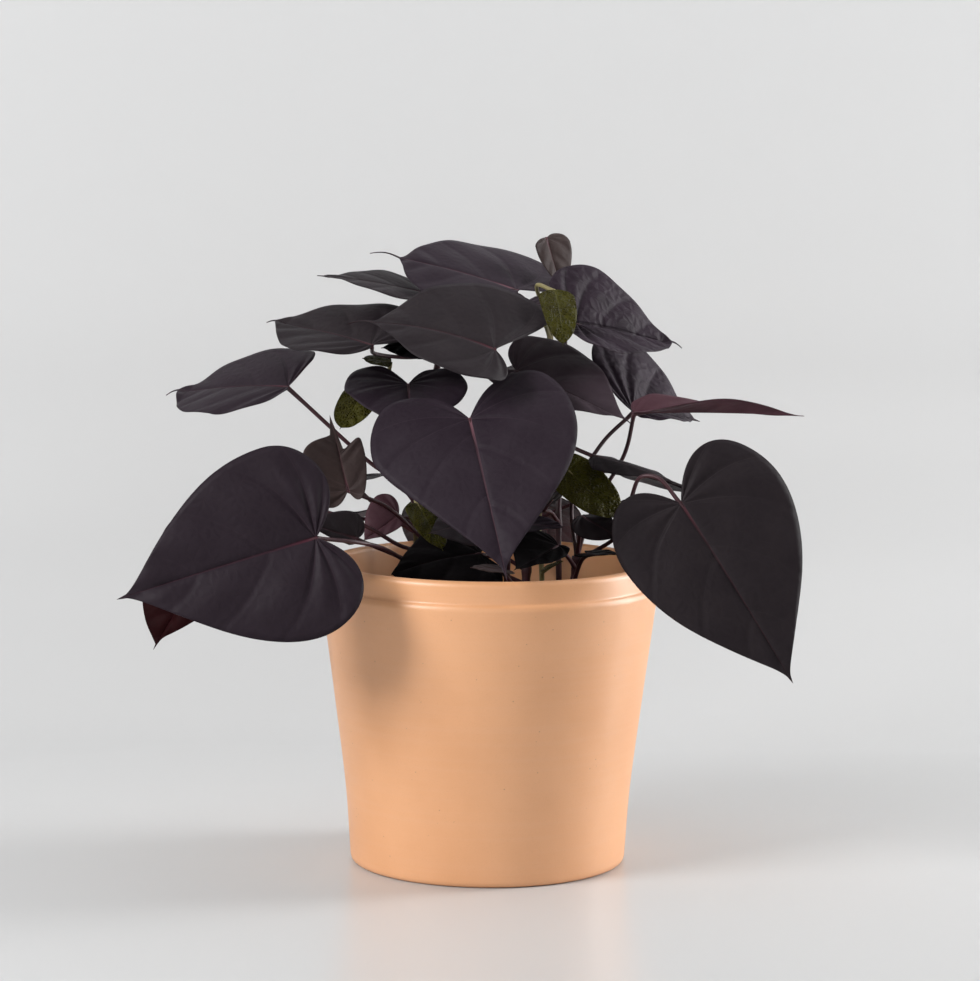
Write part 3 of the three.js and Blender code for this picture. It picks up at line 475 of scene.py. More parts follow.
class Blade:
    """The form of one leaf's blade. place(t, across) carries the flat outline into space: t runs from 0 at
    the tip to 1 at the notch, and across from -1 to 1 over the width."""

    def __init__(self, name, leaf):
        self.leaf = leaf
        self.base = np.array(leaf["base"], float)
        chord = np.array(leaf["tip"], float) - self.base
        span = np.linalg.norm(chord)
        self.forward = chord / span
        level = unit(np.array([0, 0, 1.0]) - self.forward * self.forward[2])
        roll = math.radians(leaf["roll"])
        self.up = level * math.cos(roll) + np.cross(self.forward, level) * math.sin(roll)
        self.side = np.cross(self.up, self.forward)
        self.droop = math.radians(leaf.get("droop", 0)) or 1e-6
        self.length = span * self.droop / (2 * math.sin(self.droop / 2))
        self.twist = math.radians(leaf.get("twist", 0))
        random = np.random.default_rng(sum(ord(letter) * (i + 1) for i, letter in enumerate(name)))
        self.wave_phase = random.uniform(0, 2 * math.pi, 4)
        self.size = max(pair(leaf["width"]))

    def by_half(self, key, across):
        """A setting's value for the half that each point lies in, or 0 where the leaf doesn't give it."""
        left, right = pair(self.leaf.get(key, 0))
        return np.where(across < 0, float(right), float(left))

    def flat(self, t, across):
        """The blade laid flat. Lines of constant t are its side veins: each starts on the midrib, or at the
        stalk for those that spread into the lobes, and runs straight to the outline."""
        half_width = self.by_half("width", across) / 2
        outlines = [half_outline(self.leaf, half, t) for half in (0, 1)]
        edge = np.where((across < 0)[..., None], outlines[1], outlines[0])
        share = np.abs(across)
        rib = np.maximum(0, edge[..., 0] * self.length - VEIN_LEAN * edge[..., 1] * half_width)
        x = rib + (edge[..., 0] * self.length - rib) * share
        return x, edge[..., 1] * half_width * share

    def vein_phase(self, t, across):
        """A number that is whole on each side vein. The veins curve on towards the tip as they run out."""
        return SIDE_VEINS * (t + VEIN_SWEEP * across**2 * np.sin(math.pi * np.clip(t, 0, 1)))

    def place(self, t, across):
        """The point in space, in millimetres. The half blade's cross-section is an arc that starts at its
        fold, the section turns with the twist, and the midrib's arc carries it. On that stand the swelling
        between the side veins, sine squared of the vein phase, the waves of the edge, the groove over the
        midrib and the arch of the drip tip."""
        x, y = self.flat(t, across)
        half_width = self.by_half("width", across) / 2
        fold = np.radians(self.by_half("fold", across))
        cup = np.radians(self.by_half("cup", across))
        cup = np.where(cup == 0, 1e-6, cup)
        turn = cup * y / half_width
        out = half_width / cup * (np.sin(fold + turn) - np.sin(fold)) * np.where(across < 0, -1, 1)
        rise = half_width / cup * (np.cos(fold) - np.cos(fold + turn)) + self.relief(t, across, x, y)
        ahead = x / self.length
        angle = self.twist * ahead
        out, rise = out * np.cos(angle) - rise * np.sin(angle), out * np.sin(angle) + rise * np.cos(angle)
        slope = self.droop / 2 - self.droop * ahead
        radius = self.length / self.droop
        along = radius * (math.sin(self.droop / 2) - np.sin(slope)) - rise * np.sin(slope)
        height = radius * (np.cos(slope) - math.cos(self.droop / 2)) + rise * np.cos(slope)
        return (self.base + along[..., None] * self.forward + out[..., None] * self.side
                + height[..., None] * self.up)

    def relief(self, t, across, x, y):
        """How far the blade stands above its smooth form, in millimetres."""
        share = np.abs(across)
        scale = min(1.0, self.size / FULL_RELIEF_WIDTH)
        middle = np.clip(4 * share * (1 - share), 0, 1)
        body = np.clip(np.sin(math.pi * np.clip((t - TAIL_SHARE) / (1 - TAIL_SHARE), 0, 1)) * 2.4, 0, 1)
        swell = self.leaf.get("quilt", USUAL_QUILT) * np.sin(math.pi * self.vein_phase(t, across)) ** 2
        a, b, c, d = self.wave_phase
        side_phase = np.where(across < 0, a, b)
        waves = (np.sin(2 * math.pi * 2.3 * t + side_phase)
                 + 0.5 * np.sin(2 * math.pi * 5.1 * t + c + side_phase))
        wave = EDGE_WAVE * share**3 * waves
        buckle = BUCKLE * np.sin(x / 13 + c) * np.sin(y / 15 + d) * middle
        groove = -GROOVE_DEPTH * np.exp(-((y / GROOVE_WIDTH) ** 2))
        ahead = np.clip((x / self.length - 0.8) / 0.2, 0, 1)
        arch = self.leaf.get("arch", 0) * np.sin(math.pi * ahead)
        return scale * body * (swell * middle + wave + buckle + groove) + arch

    def normal(self, t, across):
        """The upper face's normal: the cross product of the surface's two tangents, averaged over a small
        step to each side, so that the crease at the midrib shares one normal."""
        t = np.clip(t, 0.03, 0.97)
        total = 0
        for step in (-0.04, 0.04):
            a = across + step
            run = self.place(t + 0.01, a) - self.place(t - 0.01, a)
            over = self.place(t, a + 0.02) - self.place(t, a - 0.02)
            total = total + unit(np.cross(over, run))
        return unit(total)

    def vein_pitch(self, t, across):
        """The distance in millimetres from one side vein to the next: one over the length of the vein
        phase's gradient in the flat blade."""
        d = 1e-4
        t = np.clip(t, d, 1 - d)
        across = np.where(np.abs(across) < 2 * d, 2 * d, across)
        (x0, y0), (x1, y1) = self.flat(t - d, across), self.flat(t + d, across)
        run = np.stack([x1 - x0, (y1 - y0) * np.sign(across)], -1) / (2 * d)
        (x0, y0), (x1, y1) = self.flat(t, across - d), self.flat(t, across + d)
        over = np.stack([x1 - x0, y1 * np.sign(across + d) - y0 * np.sign(across - d)], -1) / (2 * d)
        phase_run = (self.vein_phase(t + d, across) - self.vein_phase(t - d, across)) / (2 * d)
        phase_over = (self.vein_phase(t, across + d) - self.vein_phase(t, across - d)) / (2 * d)
        area = np.abs(run[..., 0] * over[..., 1] - run[..., 1] * over[..., 0])
        slope = np.linalg.norm(phase_run[..., None] * over - phase_over[..., None] * run, axis=-1)
        return area / np.maximum(slope, 1e-9)


def add_leaf(name, leaf, materials):
    """A closed blade. Each row of its grid goes once round the blade: over the upper face from one edge to
    the other and back under the lower face. The lower face bulges by a half-round rib under the midrib.
    Columns stand closer near the midrib: across is the column's share to the power 1.4."""
    blade = Blade(name, leaf)
    rows, half_columns = SMALL_GRID if blade.size < SMALL_WIDTH else LARGE_GRID
    t = np.linspace(0, 1, rows + 1)
    columns = np.linspace(-1, 1, 2 * half_columns + 1)
    across = np.sign(columns) * np.abs(columns) ** 1.4
    t, across = np.meshgrid(t, across, indexing="ij")
    middle = blade.place(t, across)
    x, y = blade.flat(t, across)
    # Where points coincide, at the tip, the notch and the stalk, they share one normal.
    _, group = np.unique(np.round(middle.reshape(-1, 3), 6), axis=0, return_inverse=True)
    sums = np.zeros((group.max() + 1, 3))
    np.add.at(sums, group.reshape(-1), blade.normal(t, across).reshape(-1, 3))
    normal = unit(sums[group.reshape(-1)]).reshape(middle.shape)
    middle_of_group = np.zeros_like(sums)
    middle_of_group[group.reshape(-1)] = middle.reshape(-1, 3)
    middle = middle_of_group[group.reshape(-1)].reshape(middle.shape)
    half = BLADE_THICKNESS / 2 * (1 - 0.5 * np.abs(across) ** 6)
    radius = RIB_RADIUS * min(1, blade.size / FULL_RIB_WIDTH) * np.clip(1 - x / blade.length, 0, 1) ** 0.7
    rib = np.sqrt(np.clip(1 - (y / np.maximum(radius, 1e-6)) ** 2, 0, 1)) * radius
    rib = np.where((t == 1) | (t == 0), 0, rib)
    upper = middle + normal * half[..., None]
    lower = middle - normal * (half + rib)[..., None]
    ring = np.concatenate([upper, lower[:, ::-1]], axis=1)
    count = ring.shape[1]
    quads = grid_quads(len(ring), count, wrap=True)[:, ::-1]
    signed_y = y * np.sign(across)
    around = lambda value: np.concatenate([value, value[:, ::-1]], axis=1).ravel()
    pitch = blade.vein_pitch(t, across) * MM
    maps = {
        "veins": np.stack([around(blade.vein_phase(t, across)), around(pitch)], -1),
        "flat": np.stack([around(x), around(signed_y)], -1) * MM,
        "form": np.stack([around(np.abs(across)), around(x / blade.length)], -1),
    }
    column = np.arange(count)
    under = np.broadcast_to(column >= 2 * half_columns + 1, (rows, count)).ravel()
    return make_piece("fine_" + name, ring.reshape(-1, 3) * MM, quads, materials,
                      ["leaf_" + name], maps,
                      under)


# ---------------------------------------------------------------- stems and stalks

def tube(path, radii, sides):
    """A round tube along a path, closed at both ends. Each ring's first axis is the path's tangent crossed
    with the direction that the path follows least, and its second is the tangent crossed with the first."""
    tangent = unit(np.gradient(path, axis=0))
    spread = np.linalg.eigh(tangent.T @ tangent)[1][:, 0]
    across = unit(np.cross(tangent, spread))
    other = np.cross(tangent, across)
    angle = np.linspace(0, 2 * math.pi, sides, endpoint=False)
    circle = across[:, None] * np.cos(angle)[:, None] + other[:, None] * np.sin(angle)[:, None]
    rings = path[:, None] + circle * radii[:, None, None]
    first = np.broadcast_to(path[0], rings[:1].shape)
    last = np.broadcast_to(path[-1], rings[:1].shape)
    rings = np.concatenate([first, rings, last])
    length = np.concatenate([[0], np.cumsum(np.linalg.norm(np.diff(path, axis=0), axis=1))])
    along = np.concatenate([length[:1], length, length[-1:]])
    maps = np.stack(np.broadcast_arrays(along[:, None] * MM, angle[None] / (2 * math.pi)), -1)
    return rings.reshape(-1, 3), grid_quads(len(rings), sides, wrap=True), maps.reshape(-1, 2)


def stem_path(stem, samples):
    """Points along a stem, which starts below the soil."""
    x, y, z = stem["points"][0]
    return spline_through([(x, y, z - ROOT_DEPTH), *stem["points"]], samples, 0.5)


def add_stem(name, material):
    """A stem and the stalks of its leaves. The stem swells at each stalk's foot. A stalk widens at its foot
    and where it meets the blade, and its end runs on under the blade into the midrib."""
    stem = STEMS[name]
    stalks = {leaf_name: leaf for leaf_name, leaf in LEAVES.items() if leaf["stem"] == name}
    rough_length = np.linalg.norm(np.diff(np.array(stem["points"], float), axis=0), axis=1).sum() + ROOT_DEPTH
    samples = np.linspace(0, 1, int(rough_length * SAMPLES_PER_MM))
    path = stem_path(stem, samples)
    radii = stem["radius"] * (1.06 - 0.22 * samples)
    for leaf in stalks.values():
        radii = radii + NODE_SWELL * np.exp(-(((samples - leaf["at"]) * rough_length / NODE_LENGTH) ** 2))
    end = np.clip((1 - samples) * rough_length / stem["radius"], 0, 1)
    radii = radii * np.sqrt(np.clip(1 - (1 - end) ** 2, 0.02, 1))
    parts = [tube(path, radii, STEM_SIDES)]
    for leaf_name, leaf in stalks.items():
        blade = Blade(leaf_name, leaf)
        t = np.array([1.0, 0.25, 0.25, 0.6, 0.6])
        across = np.array([1e-9, 1e-9, 0.02, 0.4, -0.4])
        base, ahead = blade.place(t, across)[:2]
        side = np.diff(blade.place(t[3:], across[3:]), axis=0)[0]
        down = unit(np.cross(-side, ahead - base))
        rib = unit(ahead - base)
        seat = base + down * (BLADE_THICKNESS / 2 + 0.7 * STALK_RADIUS)
        foot = stem_path(stem, np.array([leaf["at"]]))[0]
        route = [foot, *leaf["via"], seat]
        stalk_length = np.linalg.norm(np.diff(np.array(route, float), axis=0), axis=1).sum()
        s = np.linspace(0, 1, max(12, int(stalk_length * SAMPLES_PER_MM)))
        path = spline_through(route, s, 0.5)
        reach = np.linspace(1, STALK_RUN_ON, 6)[:, None]
        run_on = seat + rib * reach - down * np.minimum(0.08 * reach, 0.6)
        path = np.vstack([path, run_on])
        from_foot = np.linspace(0, 1, len(path)) * (stalk_length + STALK_RUN_ON)
        to_end = from_foot[-1] - from_foot
        radii = STALK_RADIUS * (0.94 + 0.45 * np.exp(-from_foot / 3)
                                + 0.16 * np.exp(-(((to_end - 10) / 4) ** 2)))
        radii = radii * np.clip(to_end / STALK_RUN_ON, 0.25, 1) ** 0.6
        parts.append(tube(path, radii, STALK_SIDES))
    offset = 0
    points, quads, maps = [], [], []
    for part_points, part_quads, part_maps in parts:
        points.append(part_points)
        quads.append(part_quads + offset)
        maps.append(part_maps)
        offset += len(part_points)
    return make_piece("fine_stem_" + name, np.vstack(points) * MM, np.vstack(quads), [material],
                      ["stem_" + name], {"tube": np.vstack(maps)})


# ---------------------------------------------------------------- pot and soil

BORE_FOOT = FOOT_RADIUS + FOOT_ROUND - POT_WALL
BORE_RIM = COLLAR_RADIUS - POT_WALL


def bore_radius(height):
    """The pot's inside radius, which grows evenly with height."""
    return BORE_FOOT + (BORE_RIM - BORE_FOOT) * (height - POT_FLOOR) / (POT_HEIGHT - POT_FLOOR)


def revolve(profile, sides, wobble=0.0):
    """A profile of (radius, height) turned about the pot's axis. The radius swells and shrinks by the
    wobble, twice and three times round."""
    angle = np.linspace(0, 2 * math.pi, sides, endpoint=False)
    uneven = 1 + wobble * (np.sin(2 * angle + 0.7) + 0.6 * np.sin(3 * angle + 2.1))
    radius = profile[:, :1] * uneven
    height = np.broadcast_to(profile[:, 1:], radius.shape)
    return np.stack([radius * np.cos(angle), radius * np.sin(angle), height], -1)


def straight(start, end, count):
    """Points at equal steps from start to end, without the start."""
    return np.linspace(start, end, count + 1)[1:]


def add_pot(material):
    """The pot's section turned about its axis: a flat foot with a rounded edge, a wall that swells up to
    the ridge, a short collar, a rounded lip and a plain inner wall with a rounded corner at its floor."""
    foot = FOOT_RADIUS + FOOT_ROUND
    ridge = POT_HEIGHT - COLLAR_HEIGHT
    lip = COLLAR_RADIUS - 0.4
    turn = np.linspace(0, 1, CORNER_STEPS + 1)[1:]
    wall_points = [(foot, FOOT_ROUND + 2), (foot + 3, 0.28 * ridge), (foot + 9.5, 0.6 * ridge),
                   (POT_RADIUS - 1.6, 0.92 * ridge), (POT_RADIUS, ridge)]
    wall = spline_through(wall_points, np.linspace(0, 1, WALL_STEPS + 1)[1:], 0)
    inner_top = (bore_radius(POT_HEIGHT - LIP_ROUND), POT_HEIGHT - LIP_ROUND)
    inner_low = (bore_radius(POT_FLOOR + FLOOR_ROUND), POT_FLOOR + FLOOR_ROUND)
    profile = np.vstack([
        np.array([[0.0, 0.0]]),
        straight((0, 0), (FOOT_RADIUS, 0), 8),
        bezier([(FOOT_RADIUS, 0), (foot, 0), (foot, FOOT_ROUND + 2)], turn),
        wall,
        bezier([(POT_RADIUS, ridge), (POT_RADIUS, ridge + 3), (COLLAR_RADIUS, ridge + 4)], turn),
        straight((COLLAR_RADIUS, ridge + 4), (lip, POT_HEIGHT - LIP_ROUND), 8),
        bezier([(lip, POT_HEIGHT - LIP_ROUND), (lip, POT_HEIGHT), (lip - LIP_ROUND, POT_HEIGHT)], turn),
        bezier([(lip - LIP_ROUND, POT_HEIGHT), (BORE_RIM, POT_HEIGHT), inner_top], turn),
        straight(inner_top, inner_low, 24),
        bezier([inner_low, (BORE_FOOT, POT_FLOOR), (BORE_FOOT - FLOOR_ROUND, POT_FLOOR)], turn),
        straight((BORE_FOOT - FLOOR_ROUND, POT_FLOOR), (0, POT_FLOOR), 6),
    ])
    rings = revolve(profile, POT_SIDES, POT_WOBBLE)
    quads = grid_quads(len(profile), POT_SIDES, wrap=True)
    return make_piece("fine_pot", rings.reshape(-1, 3) * MM, quads, [material], ["pot"])


def add_soil(material):
    """The soil fills the pot. Its top is the sum of slow lumps and many crumbs: each crumb is a dome of its
    own radius at its own place, and where crumbs meet the higher one shows."""
    rim = bore_radius(SOIL_TOP) - SOIL_GAP
    random = np.random.default_rng(7)
    ring = np.linspace(1, 0, SOIL_RINGS) ** 0.8
    low = POT_FLOOR + 0.3
    skirt = np.array([(0, low), (BORE_FOOT - FLOOR_ROUND - SOIL_GAP, low),
                      (bore_radius(low + FLOOR_ROUND) - 0.6, low + FLOOR_ROUND + 1)])
    profile = np.vstack([skirt, np.stack([rim * ring, np.full(SOIL_RINGS, float(SOIL_TOP))], -1)])
    points = revolve(profile, SOIL_SIDES)
    top = points[len(skirt):]
    x, y = top[..., 0], top[..., 1]
    distance = np.hypot(x, y) / rim
    lumps = np.sin(x / 9 + y / 17) + np.sin(y / 11 - x / 23) + np.sin((x + y) / 6)
    height = SOIL_LUMPS / 3 * lumps * (1 - distance**4)
    radius = random.uniform(*CRUMB_RADII, CRUMBS)
    angle = random.uniform(0, 2 * math.pi, CRUMBS)
    reach = (rim - 5) * np.sqrt(random.uniform(0, 1, CRUMBS))
    stretch = random.uniform(*CRUMB_STRETCH, CRUMBS)
    dx = (x.reshape(-1, 1) - reach * np.cos(angle)) / (radius * stretch)
    dy = (y.reshape(-1, 1) - reach * np.sin(angle)) / (radius / stretch)
    dome = np.sqrt(np.clip(1 - dx**2 - dy**2, 0, None)) * radius * random.uniform(*CRUMB_HEIGHTS, CRUMBS)
    fine = random.uniform(-SOIL_GRAIN, SOIL_GRAIN, x.shape) * (1 - distance**8)
    top[..., 2] += height + dome.max(axis=1).reshape(x.shape) + fine
    quads = grid_quads(len(profile), SOIL_SIDES, wrap=True)
    return make_piece("fine_soil", points.reshape(-1, 3) * MM, quads, [material], ["soil"])


# ---------------------------------------------------------------- shader nodes

def add_node(tree, kind, inputs=None, **settings):
    """A new shader node. inputs has a value or another node's output for each socket."""
    made = tree.nodes.new(kind)
    for key, value in settings.items():
        setattr(made, key, value)
    for key, value in (inputs or {}).items():
        if isinstance(value, bpy.types.NodeSocket):
            tree.links.new(value, made.inputs[key])
        else:
            made.inputs[key].default_value = value
    return made


def maths(tree, operation, *values):
    """One Math node's output."""
    return add_node(tree, "ShaderNodeMath", dict(enumerate(values)), operation=operation).outputs[0]


def parts_of(tree, vector):
    """A vector's three numbers."""
    return add_node(tree, "ShaderNodeSeparateXYZ", {0: vector}).outputs


def mix(tree, factor, first, second):
    """Two colours mixed by a factor. Each is three numbers or another node's output."""
    colours = {6: first, 7: second}
    colours = {key: (*value, 1.0) if isinstance(value, tuple) else value for key, value in colours.items()}
    return add_node(tree, "ShaderNodeMix", {0: factor, **colours}, data_type="RGBA").outputs[2]


def ramp(tree, value, low, high, to_low=0.0, to_high=1.0):
    """A smooth step: to_low where the value is at low, and to_high where it is at high."""
    return add_node(tree, "ShaderNodeMapRange", {"Value": value, "From Min": low, "From Max": high,
                                                 "To Min": to_low, "To Max": to_high},
                    interpolation_type="SMOOTHSTEP").outputs[0]


def noise(tree, vector, scale, detail, roughness):
    """Noise from 0 to 1 at a scale in features per metre."""
    return add_node(tree, "ShaderNodeTexNoise", {"Vector": vector, "Scale": scale, "Detail": detail,
                                                 "Roughness": roughness}).outputs["Fac"]


def new_group(name, inputs, outputs):
    """An empty shader node group, its input node and its output node."""
    tree = bpy.data.node_groups.new(name, "ShaderNodeTree")
    for title, default in inputs.items():
        kind = "NodeSocketVector" if default is None else "NodeSocketFloat"
        socket = tree.interface.new_socket(name=title, in_out="INPUT", socket_type=kind)
        if default is not None:
            socket.default_value = default
    for title in outputs:
        tree.interface.new_socket(name=title, in_out="OUTPUT", socket_type="NodeSocketFloat")
    return tree, tree.nodes.new("NodeGroupInput").outputs, tree.nodes.new("NodeGroupOutput").inputs


def vein_group():
    """Masks for a blade's veins. A side vein's distance is the vein phase's distance from a whole number
    times the pitch, and the midrib's is the flat y. The net between them is the edge of Voronoi cells."""
    tree, given, put = new_group(
        "blade veins",
        {"Veins": None, "Flat": None, "Form": None, "Width": 0.4, "Net scale": 170.0, "Pillows": 0.25},
        ["Side veins", "Midrib", "Net", "Relief", "Near stalk"])
    veins, flat, form = (parts_of(tree, given[title]) for title in ("Veins", "Flat", "Form"))
    from_whole = maths(tree, "SUBTRACT", maths(tree, "FRACT", maths(tree, "ADD", veins[0], 0.5)), 0.5)
    phase = maths(tree, "ABSOLUTE", from_whole)
    side_distance = maths(tree, "MULTIPLY", phase, maths(tree, "MULTIPLY", veins[1], 1 / MM))
    side_width = maths(tree, "MULTIPLY", given["Width"], ramp(tree, form[0], 0.0, 1.0, 1.0, 0.3))
    side = ramp(tree, maths(tree, "DIVIDE", side_distance, side_width), 0.4, 1.3, 1.0, 0.0)
    rib_distance = maths(tree, "MULTIPLY", maths(tree, "ABSOLUTE", flat[1]), 1 / MM)
    rib_width = maths(tree, "MULTIPLY", given["Width"], ramp(tree, form[1], 0.0, 1.0, 2.2, 0.6))
    rib = ramp(tree, maths(tree, "DIVIDE", rib_distance, rib_width), 0.5, 1.3, 1.0, 0.0)
    cells = add_node(tree, "ShaderNodeTexVoronoi", {"Vector": given["Flat"], "Scale": given["Net scale"]},
                     feature="DISTANCE_TO_EDGE").outputs["Distance"]
    net = ramp(tree, cells, 0.0, 0.12, 1.0, 0.0)
    near = ramp(tree, form[1], -0.1, 0.28, 1.0, 0.0)
    valley = ramp(tree, side_distance, 0.0, 3.5)
    pillow = ramp(tree, cells, 0.0, 0.45)
    relief = maths(tree, "ADD", maths(tree, "MULTIPLY", valley, 0.6),
                   maths(tree, "MULTIPLY", pillow, given["Pillows"]))
    relief = maths(tree, "SUBTRACT", relief, maths(tree, "MULTIPLY", rib, 0.4))
    masks = {"Side veins": side, "Midrib": rib, "Net": net, "Relief": relief, "Near stalk": near}
    for title, value in masks.items():
        tree.links.new(value, put[title])
    return tree


def grain_group():
    """Fine unevenness for skins and clay: a slow mottle and a fine grain, both from 0 to 1."""
    tree, given, put = new_group("grain", {"Place": None, "Mottle scale": 40.0, "Grain scale": 900.0},
                                 ["Mottle", "Grain"])
    tree.links.new(noise(tree, given["Place"], given["Mottle scale"], 4.0, 0.55), put["Mottle"])
    tree.links.new(noise(tree, given["Place"], given["Grain scale"], 2.0, 0.6), put["Grain"])
    return tree


def new_material(name):
    """A material with an empty Principled shader. Gives the material, its tree and the shader's inputs."""
    material = bpy.data.materials.new(name)
    material.use_nodes = True
    tree = material.node_tree
    shader = next(n for n in tree.nodes if n.type == "BSDF_PRINCIPLED")
    return material, tree, shader.inputs


def placed(tree, group, inputs):
    """A group placed in a material with its inputs set. Gives its outputs."""
    return add_node(tree, "ShaderNodeGroup", inputs, node_tree=group).outputs


def uv(tree, title):
    """The blade's or tube's own coordinates."""
    return add_node(tree, "ShaderNodeUVMap", uv_map=title).outputs["UV"]


def object_place(tree):
    """The place in the piece's own frame, in metres."""
    return add_node(tree, "ShaderNodeTexCoord").outputs["Object"]


def bump(tree, height, distance):
    """A normal bent by a height from 0 to 1 that stands for a distance in metres."""
    return add_node(tree, "ShaderNodeBump", {"Height": height, "Distance": distance}).outputs[0]


def blade_material(name, tone, veins, grain, under=False):
    """A satin, nearly black blade: mottled face, fine net, side veins and a midrib that is palest at the
    stalk. The underside is redder, with its veins raised."""
    material, tree, shader = new_material(name)
    flat = uv(tree, "flat")
    veining = tone.get("veining", USUAL_VEINING)
    vein = placed(tree, veins, {"Veins": uv(tree, "veins"), "Flat": flat, "Form": uv(tree, "form"),
                                "Width": veining["width"], "Pillows": veining["pillows"]})
    skin = placed(tree, grain, {"Place": flat, "Mottle scale": 45.0, "Grain scale": 2600.0})
    face = tone["under"] if under else tone["face"]
    second = tuple(0.75 * value for value in tone["under"]) if under else tone["mottle"]
    colour = mix(tree, ramp(tree, skin["Mottle"], 0.35, 0.65), face, second)
    colour = mix(tree, maths(tree, "MULTIPLY", vein["Net"], 0.08), colour, tone["vein"])
    side = maths(tree, "MULTIPLY", vein["Side veins"], ramp(tree, vein["Near stalk"], 0.0, 1.0, 0.15, 0.7))
    colour = mix(tree, side, colour, tone["vein"])
    rib = maths(tree, "MULTIPLY", vein["Midrib"], ramp(tree, vein["Near stalk"], 0.0, 1.0, 0.2, 1.0))
    colour = mix(tree, rib, colour, tone["rib"])
    tree.links.new(colour, shader["Base Color"])
    tree.links.new(ramp(tree, skin["Grain"], 0.3, 0.7, 0.52, 0.66), shader["Roughness"])
    height = maths(tree, "ADD", maths(tree, "MULTIPLY", vein["Relief"], -1.0 if under else 1.0),
                   maths(tree, "MULTIPLY", skin["Grain"], 0.1))
    tree.links.new(bump(tree, height, veining["depth"]), shader["Normal"])
    shader["Specular IOR Level"].default_value = tone["shine"]
    shader["Sheen Weight"].default_value = 0.1 * tone["shine"]
    shader["Sheen Roughness"].default_value = 0.45
    shader["Sheen Tint"].default_value = (0.75, 0.68, 0.85, 1)
    return material


def green_material(name, veins, grain, under=False):
    """A quilted olive blade: small shiny pillows with a paler net of veins between them."""
    material, tree, shader = new_material(name)
    flat = uv(tree, "flat")
    vein = placed(tree, veins, {"Veins": uv(tree, "veins"), "Flat": flat, "Form": uv(tree, "form"),
                                "Width": 0.3, "Net scale": 480.0, "Pillows": 0.6})
    skin = placed(tree, grain, {"Place": flat, "Mottle scale": 90.0, "Grain scale": 2600.0})
    colour = mix(tree, ramp(tree, skin["Mottle"], 0.35, 0.65), *(GREEN_UNDER if under else GREEN_UPPER))
    colour = mix(tree, maths(tree, "MULTIPLY", vein["Net"], 0.3), colour, GREEN_NET)
    drawn = maths(tree, "MAXIMUM", vein["Side veins"], vein["Midrib"])
    colour = mix(tree, maths(tree, "MULTIPLY", drawn, 0.4), colour, GREEN_VEINS)
    tree.links.new(colour, shader["Base Color"])
    tree.links.new(ramp(tree, skin["Grain"], 0.3, 0.7, 0.4, 0.54), shader["Roughness"])
    tree.links.new(bump(tree, vein["Relief"], 0.0012), shader["Normal"])
    shader["Specular IOR Level"].default_value = 0.1
    return material


def stem_material(name, colour, second, grain, roughness):
    """A satin stem with fine lengthwise streaks and slow changes of colour."""
    material, tree, shader = new_material(name)
    tube_map = {"Vector": uv(tree, "tube"), "Scale": (120.0, 9.0, 1.0)}
    streaks = noise(tree, add_node(tree, "ShaderNodeMapping", tube_map).outputs[0], 1.0, 3.0, 0.6)
    skin = placed(tree, grain, {"Place": object_place(tree), "Mottle scale": 70.0, "Grain scale": 1500.0})
    tone = mix(tree, ramp(tree, skin["Mottle"], 0.3, 0.7), colour, second)
    tone = mix(tree, maths(tree, "MULTIPLY", ramp(tree, streaks, 0.4, 0.7), 0.35), tone,
               tuple(min(1.0, 1.9 * value) for value in colour))
    tree.links.new(tone, shader["Base Color"])
    tree.links.new(ramp(tree, streaks, 0.3, 0.7, roughness - 0.06, roughness + 0.08), shader["Roughness"])
    tree.links.new(bump(tree, streaks, 0.0002), shader["Normal"])
    return material


def terracotta_material(grain):
    """Unglazed fired clay: peach to orange, with fine pale throwing lines, dark specks and small pits. The
    pits are drawn darker as painted shade in their hollows.
    """
    material, tree, shader = new_material("terracotta")
    place = object_place(tree)
    skin = placed(tree, grain, {"Place": place, "Mottle scale": 14.0, "Grain scale": 1400.0})
    level = add_node(tree, "ShaderNodeMapping", {"Vector": place, "Scale": (6.0, 6.0, 420.0)}).outputs[0]
    lines = noise(tree, level, 1.0, 3.0, 0.55)
    pits = add_node(tree, "ShaderNodeTexVoronoi", {"Vector": place, "Scale": 210.0}).outputs["Distance"]
    sparse = noise(tree, place, 60.0, 1.0, 0.5)
    pit = maths(tree, "MULTIPLY", ramp(tree, pits, 0.05, 0.11, 1.0, 0.0), ramp(tree, sparse, 0.58, 0.64))
    specks = ramp(tree, skin["Grain"], 0.5, 0.75)
    colour = mix(tree, ramp(tree, skin["Mottle"], 0.3, 0.7), *CLAY)
    colour = mix(tree, maths(tree, "MULTIPLY", ramp(tree, lines, 0.42, 0.7), 0.08), colour, CLAY_LINES)
    colour = mix(tree, maths(tree, "MULTIPLY", specks, 0.12), colour, CLAY_SPECKS)
    # Painted shade: the pits are drawn darker for the shade in their hollows, besides their dent in the bump.
    colour = mix(tree, maths(tree, "MULTIPLY", pit, 0.5), colour, CLAY_PIT_SHADE)
    tree.links.new(colour, shader["Base Color"])
    tree.links.new(ramp(tree, skin["Mottle"], 0.3, 0.7, 0.4, 0.46), shader["Roughness"])
    height = maths(tree, "ADD", maths(tree, "MULTIPLY", lines, 0.3),
                   maths(tree, "MULTIPLY", skin["Grain"], 0.35))
    height = maths(tree, "SUBTRACT", height, pit)
    tree.links.new(bump(tree, height, 0.00014), shader["Normal"])
    shader["Specular IOR Level"].default_value = 0.9
    return material


def soil_material(grain):
    """Moist potting mix, nearly black, with browner crumbs."""
    material, tree, shader = new_material("potting soil")
    skin = placed(tree, grain, {"Place": object_place(tree), "Mottle scale": 160.0, "Grain scale": 1800.0})
    colour = mix(tree, ramp(tree, skin["Mottle"], 0.4, 0.65), *SOIL)
    colour = mix(tree, ramp(tree, skin["Grain"], 0.62, 0.75), colour, SOIL_SPECKS)
    tree.links.new(colour, shader["Base Color"])
    tree.links.new(bump(tree, skin["Grain"], 0.0008), shader["Normal"])
    shader["Roughness"].default_value = 0.9
    return material


# ---------------------------------------------------------------- stage

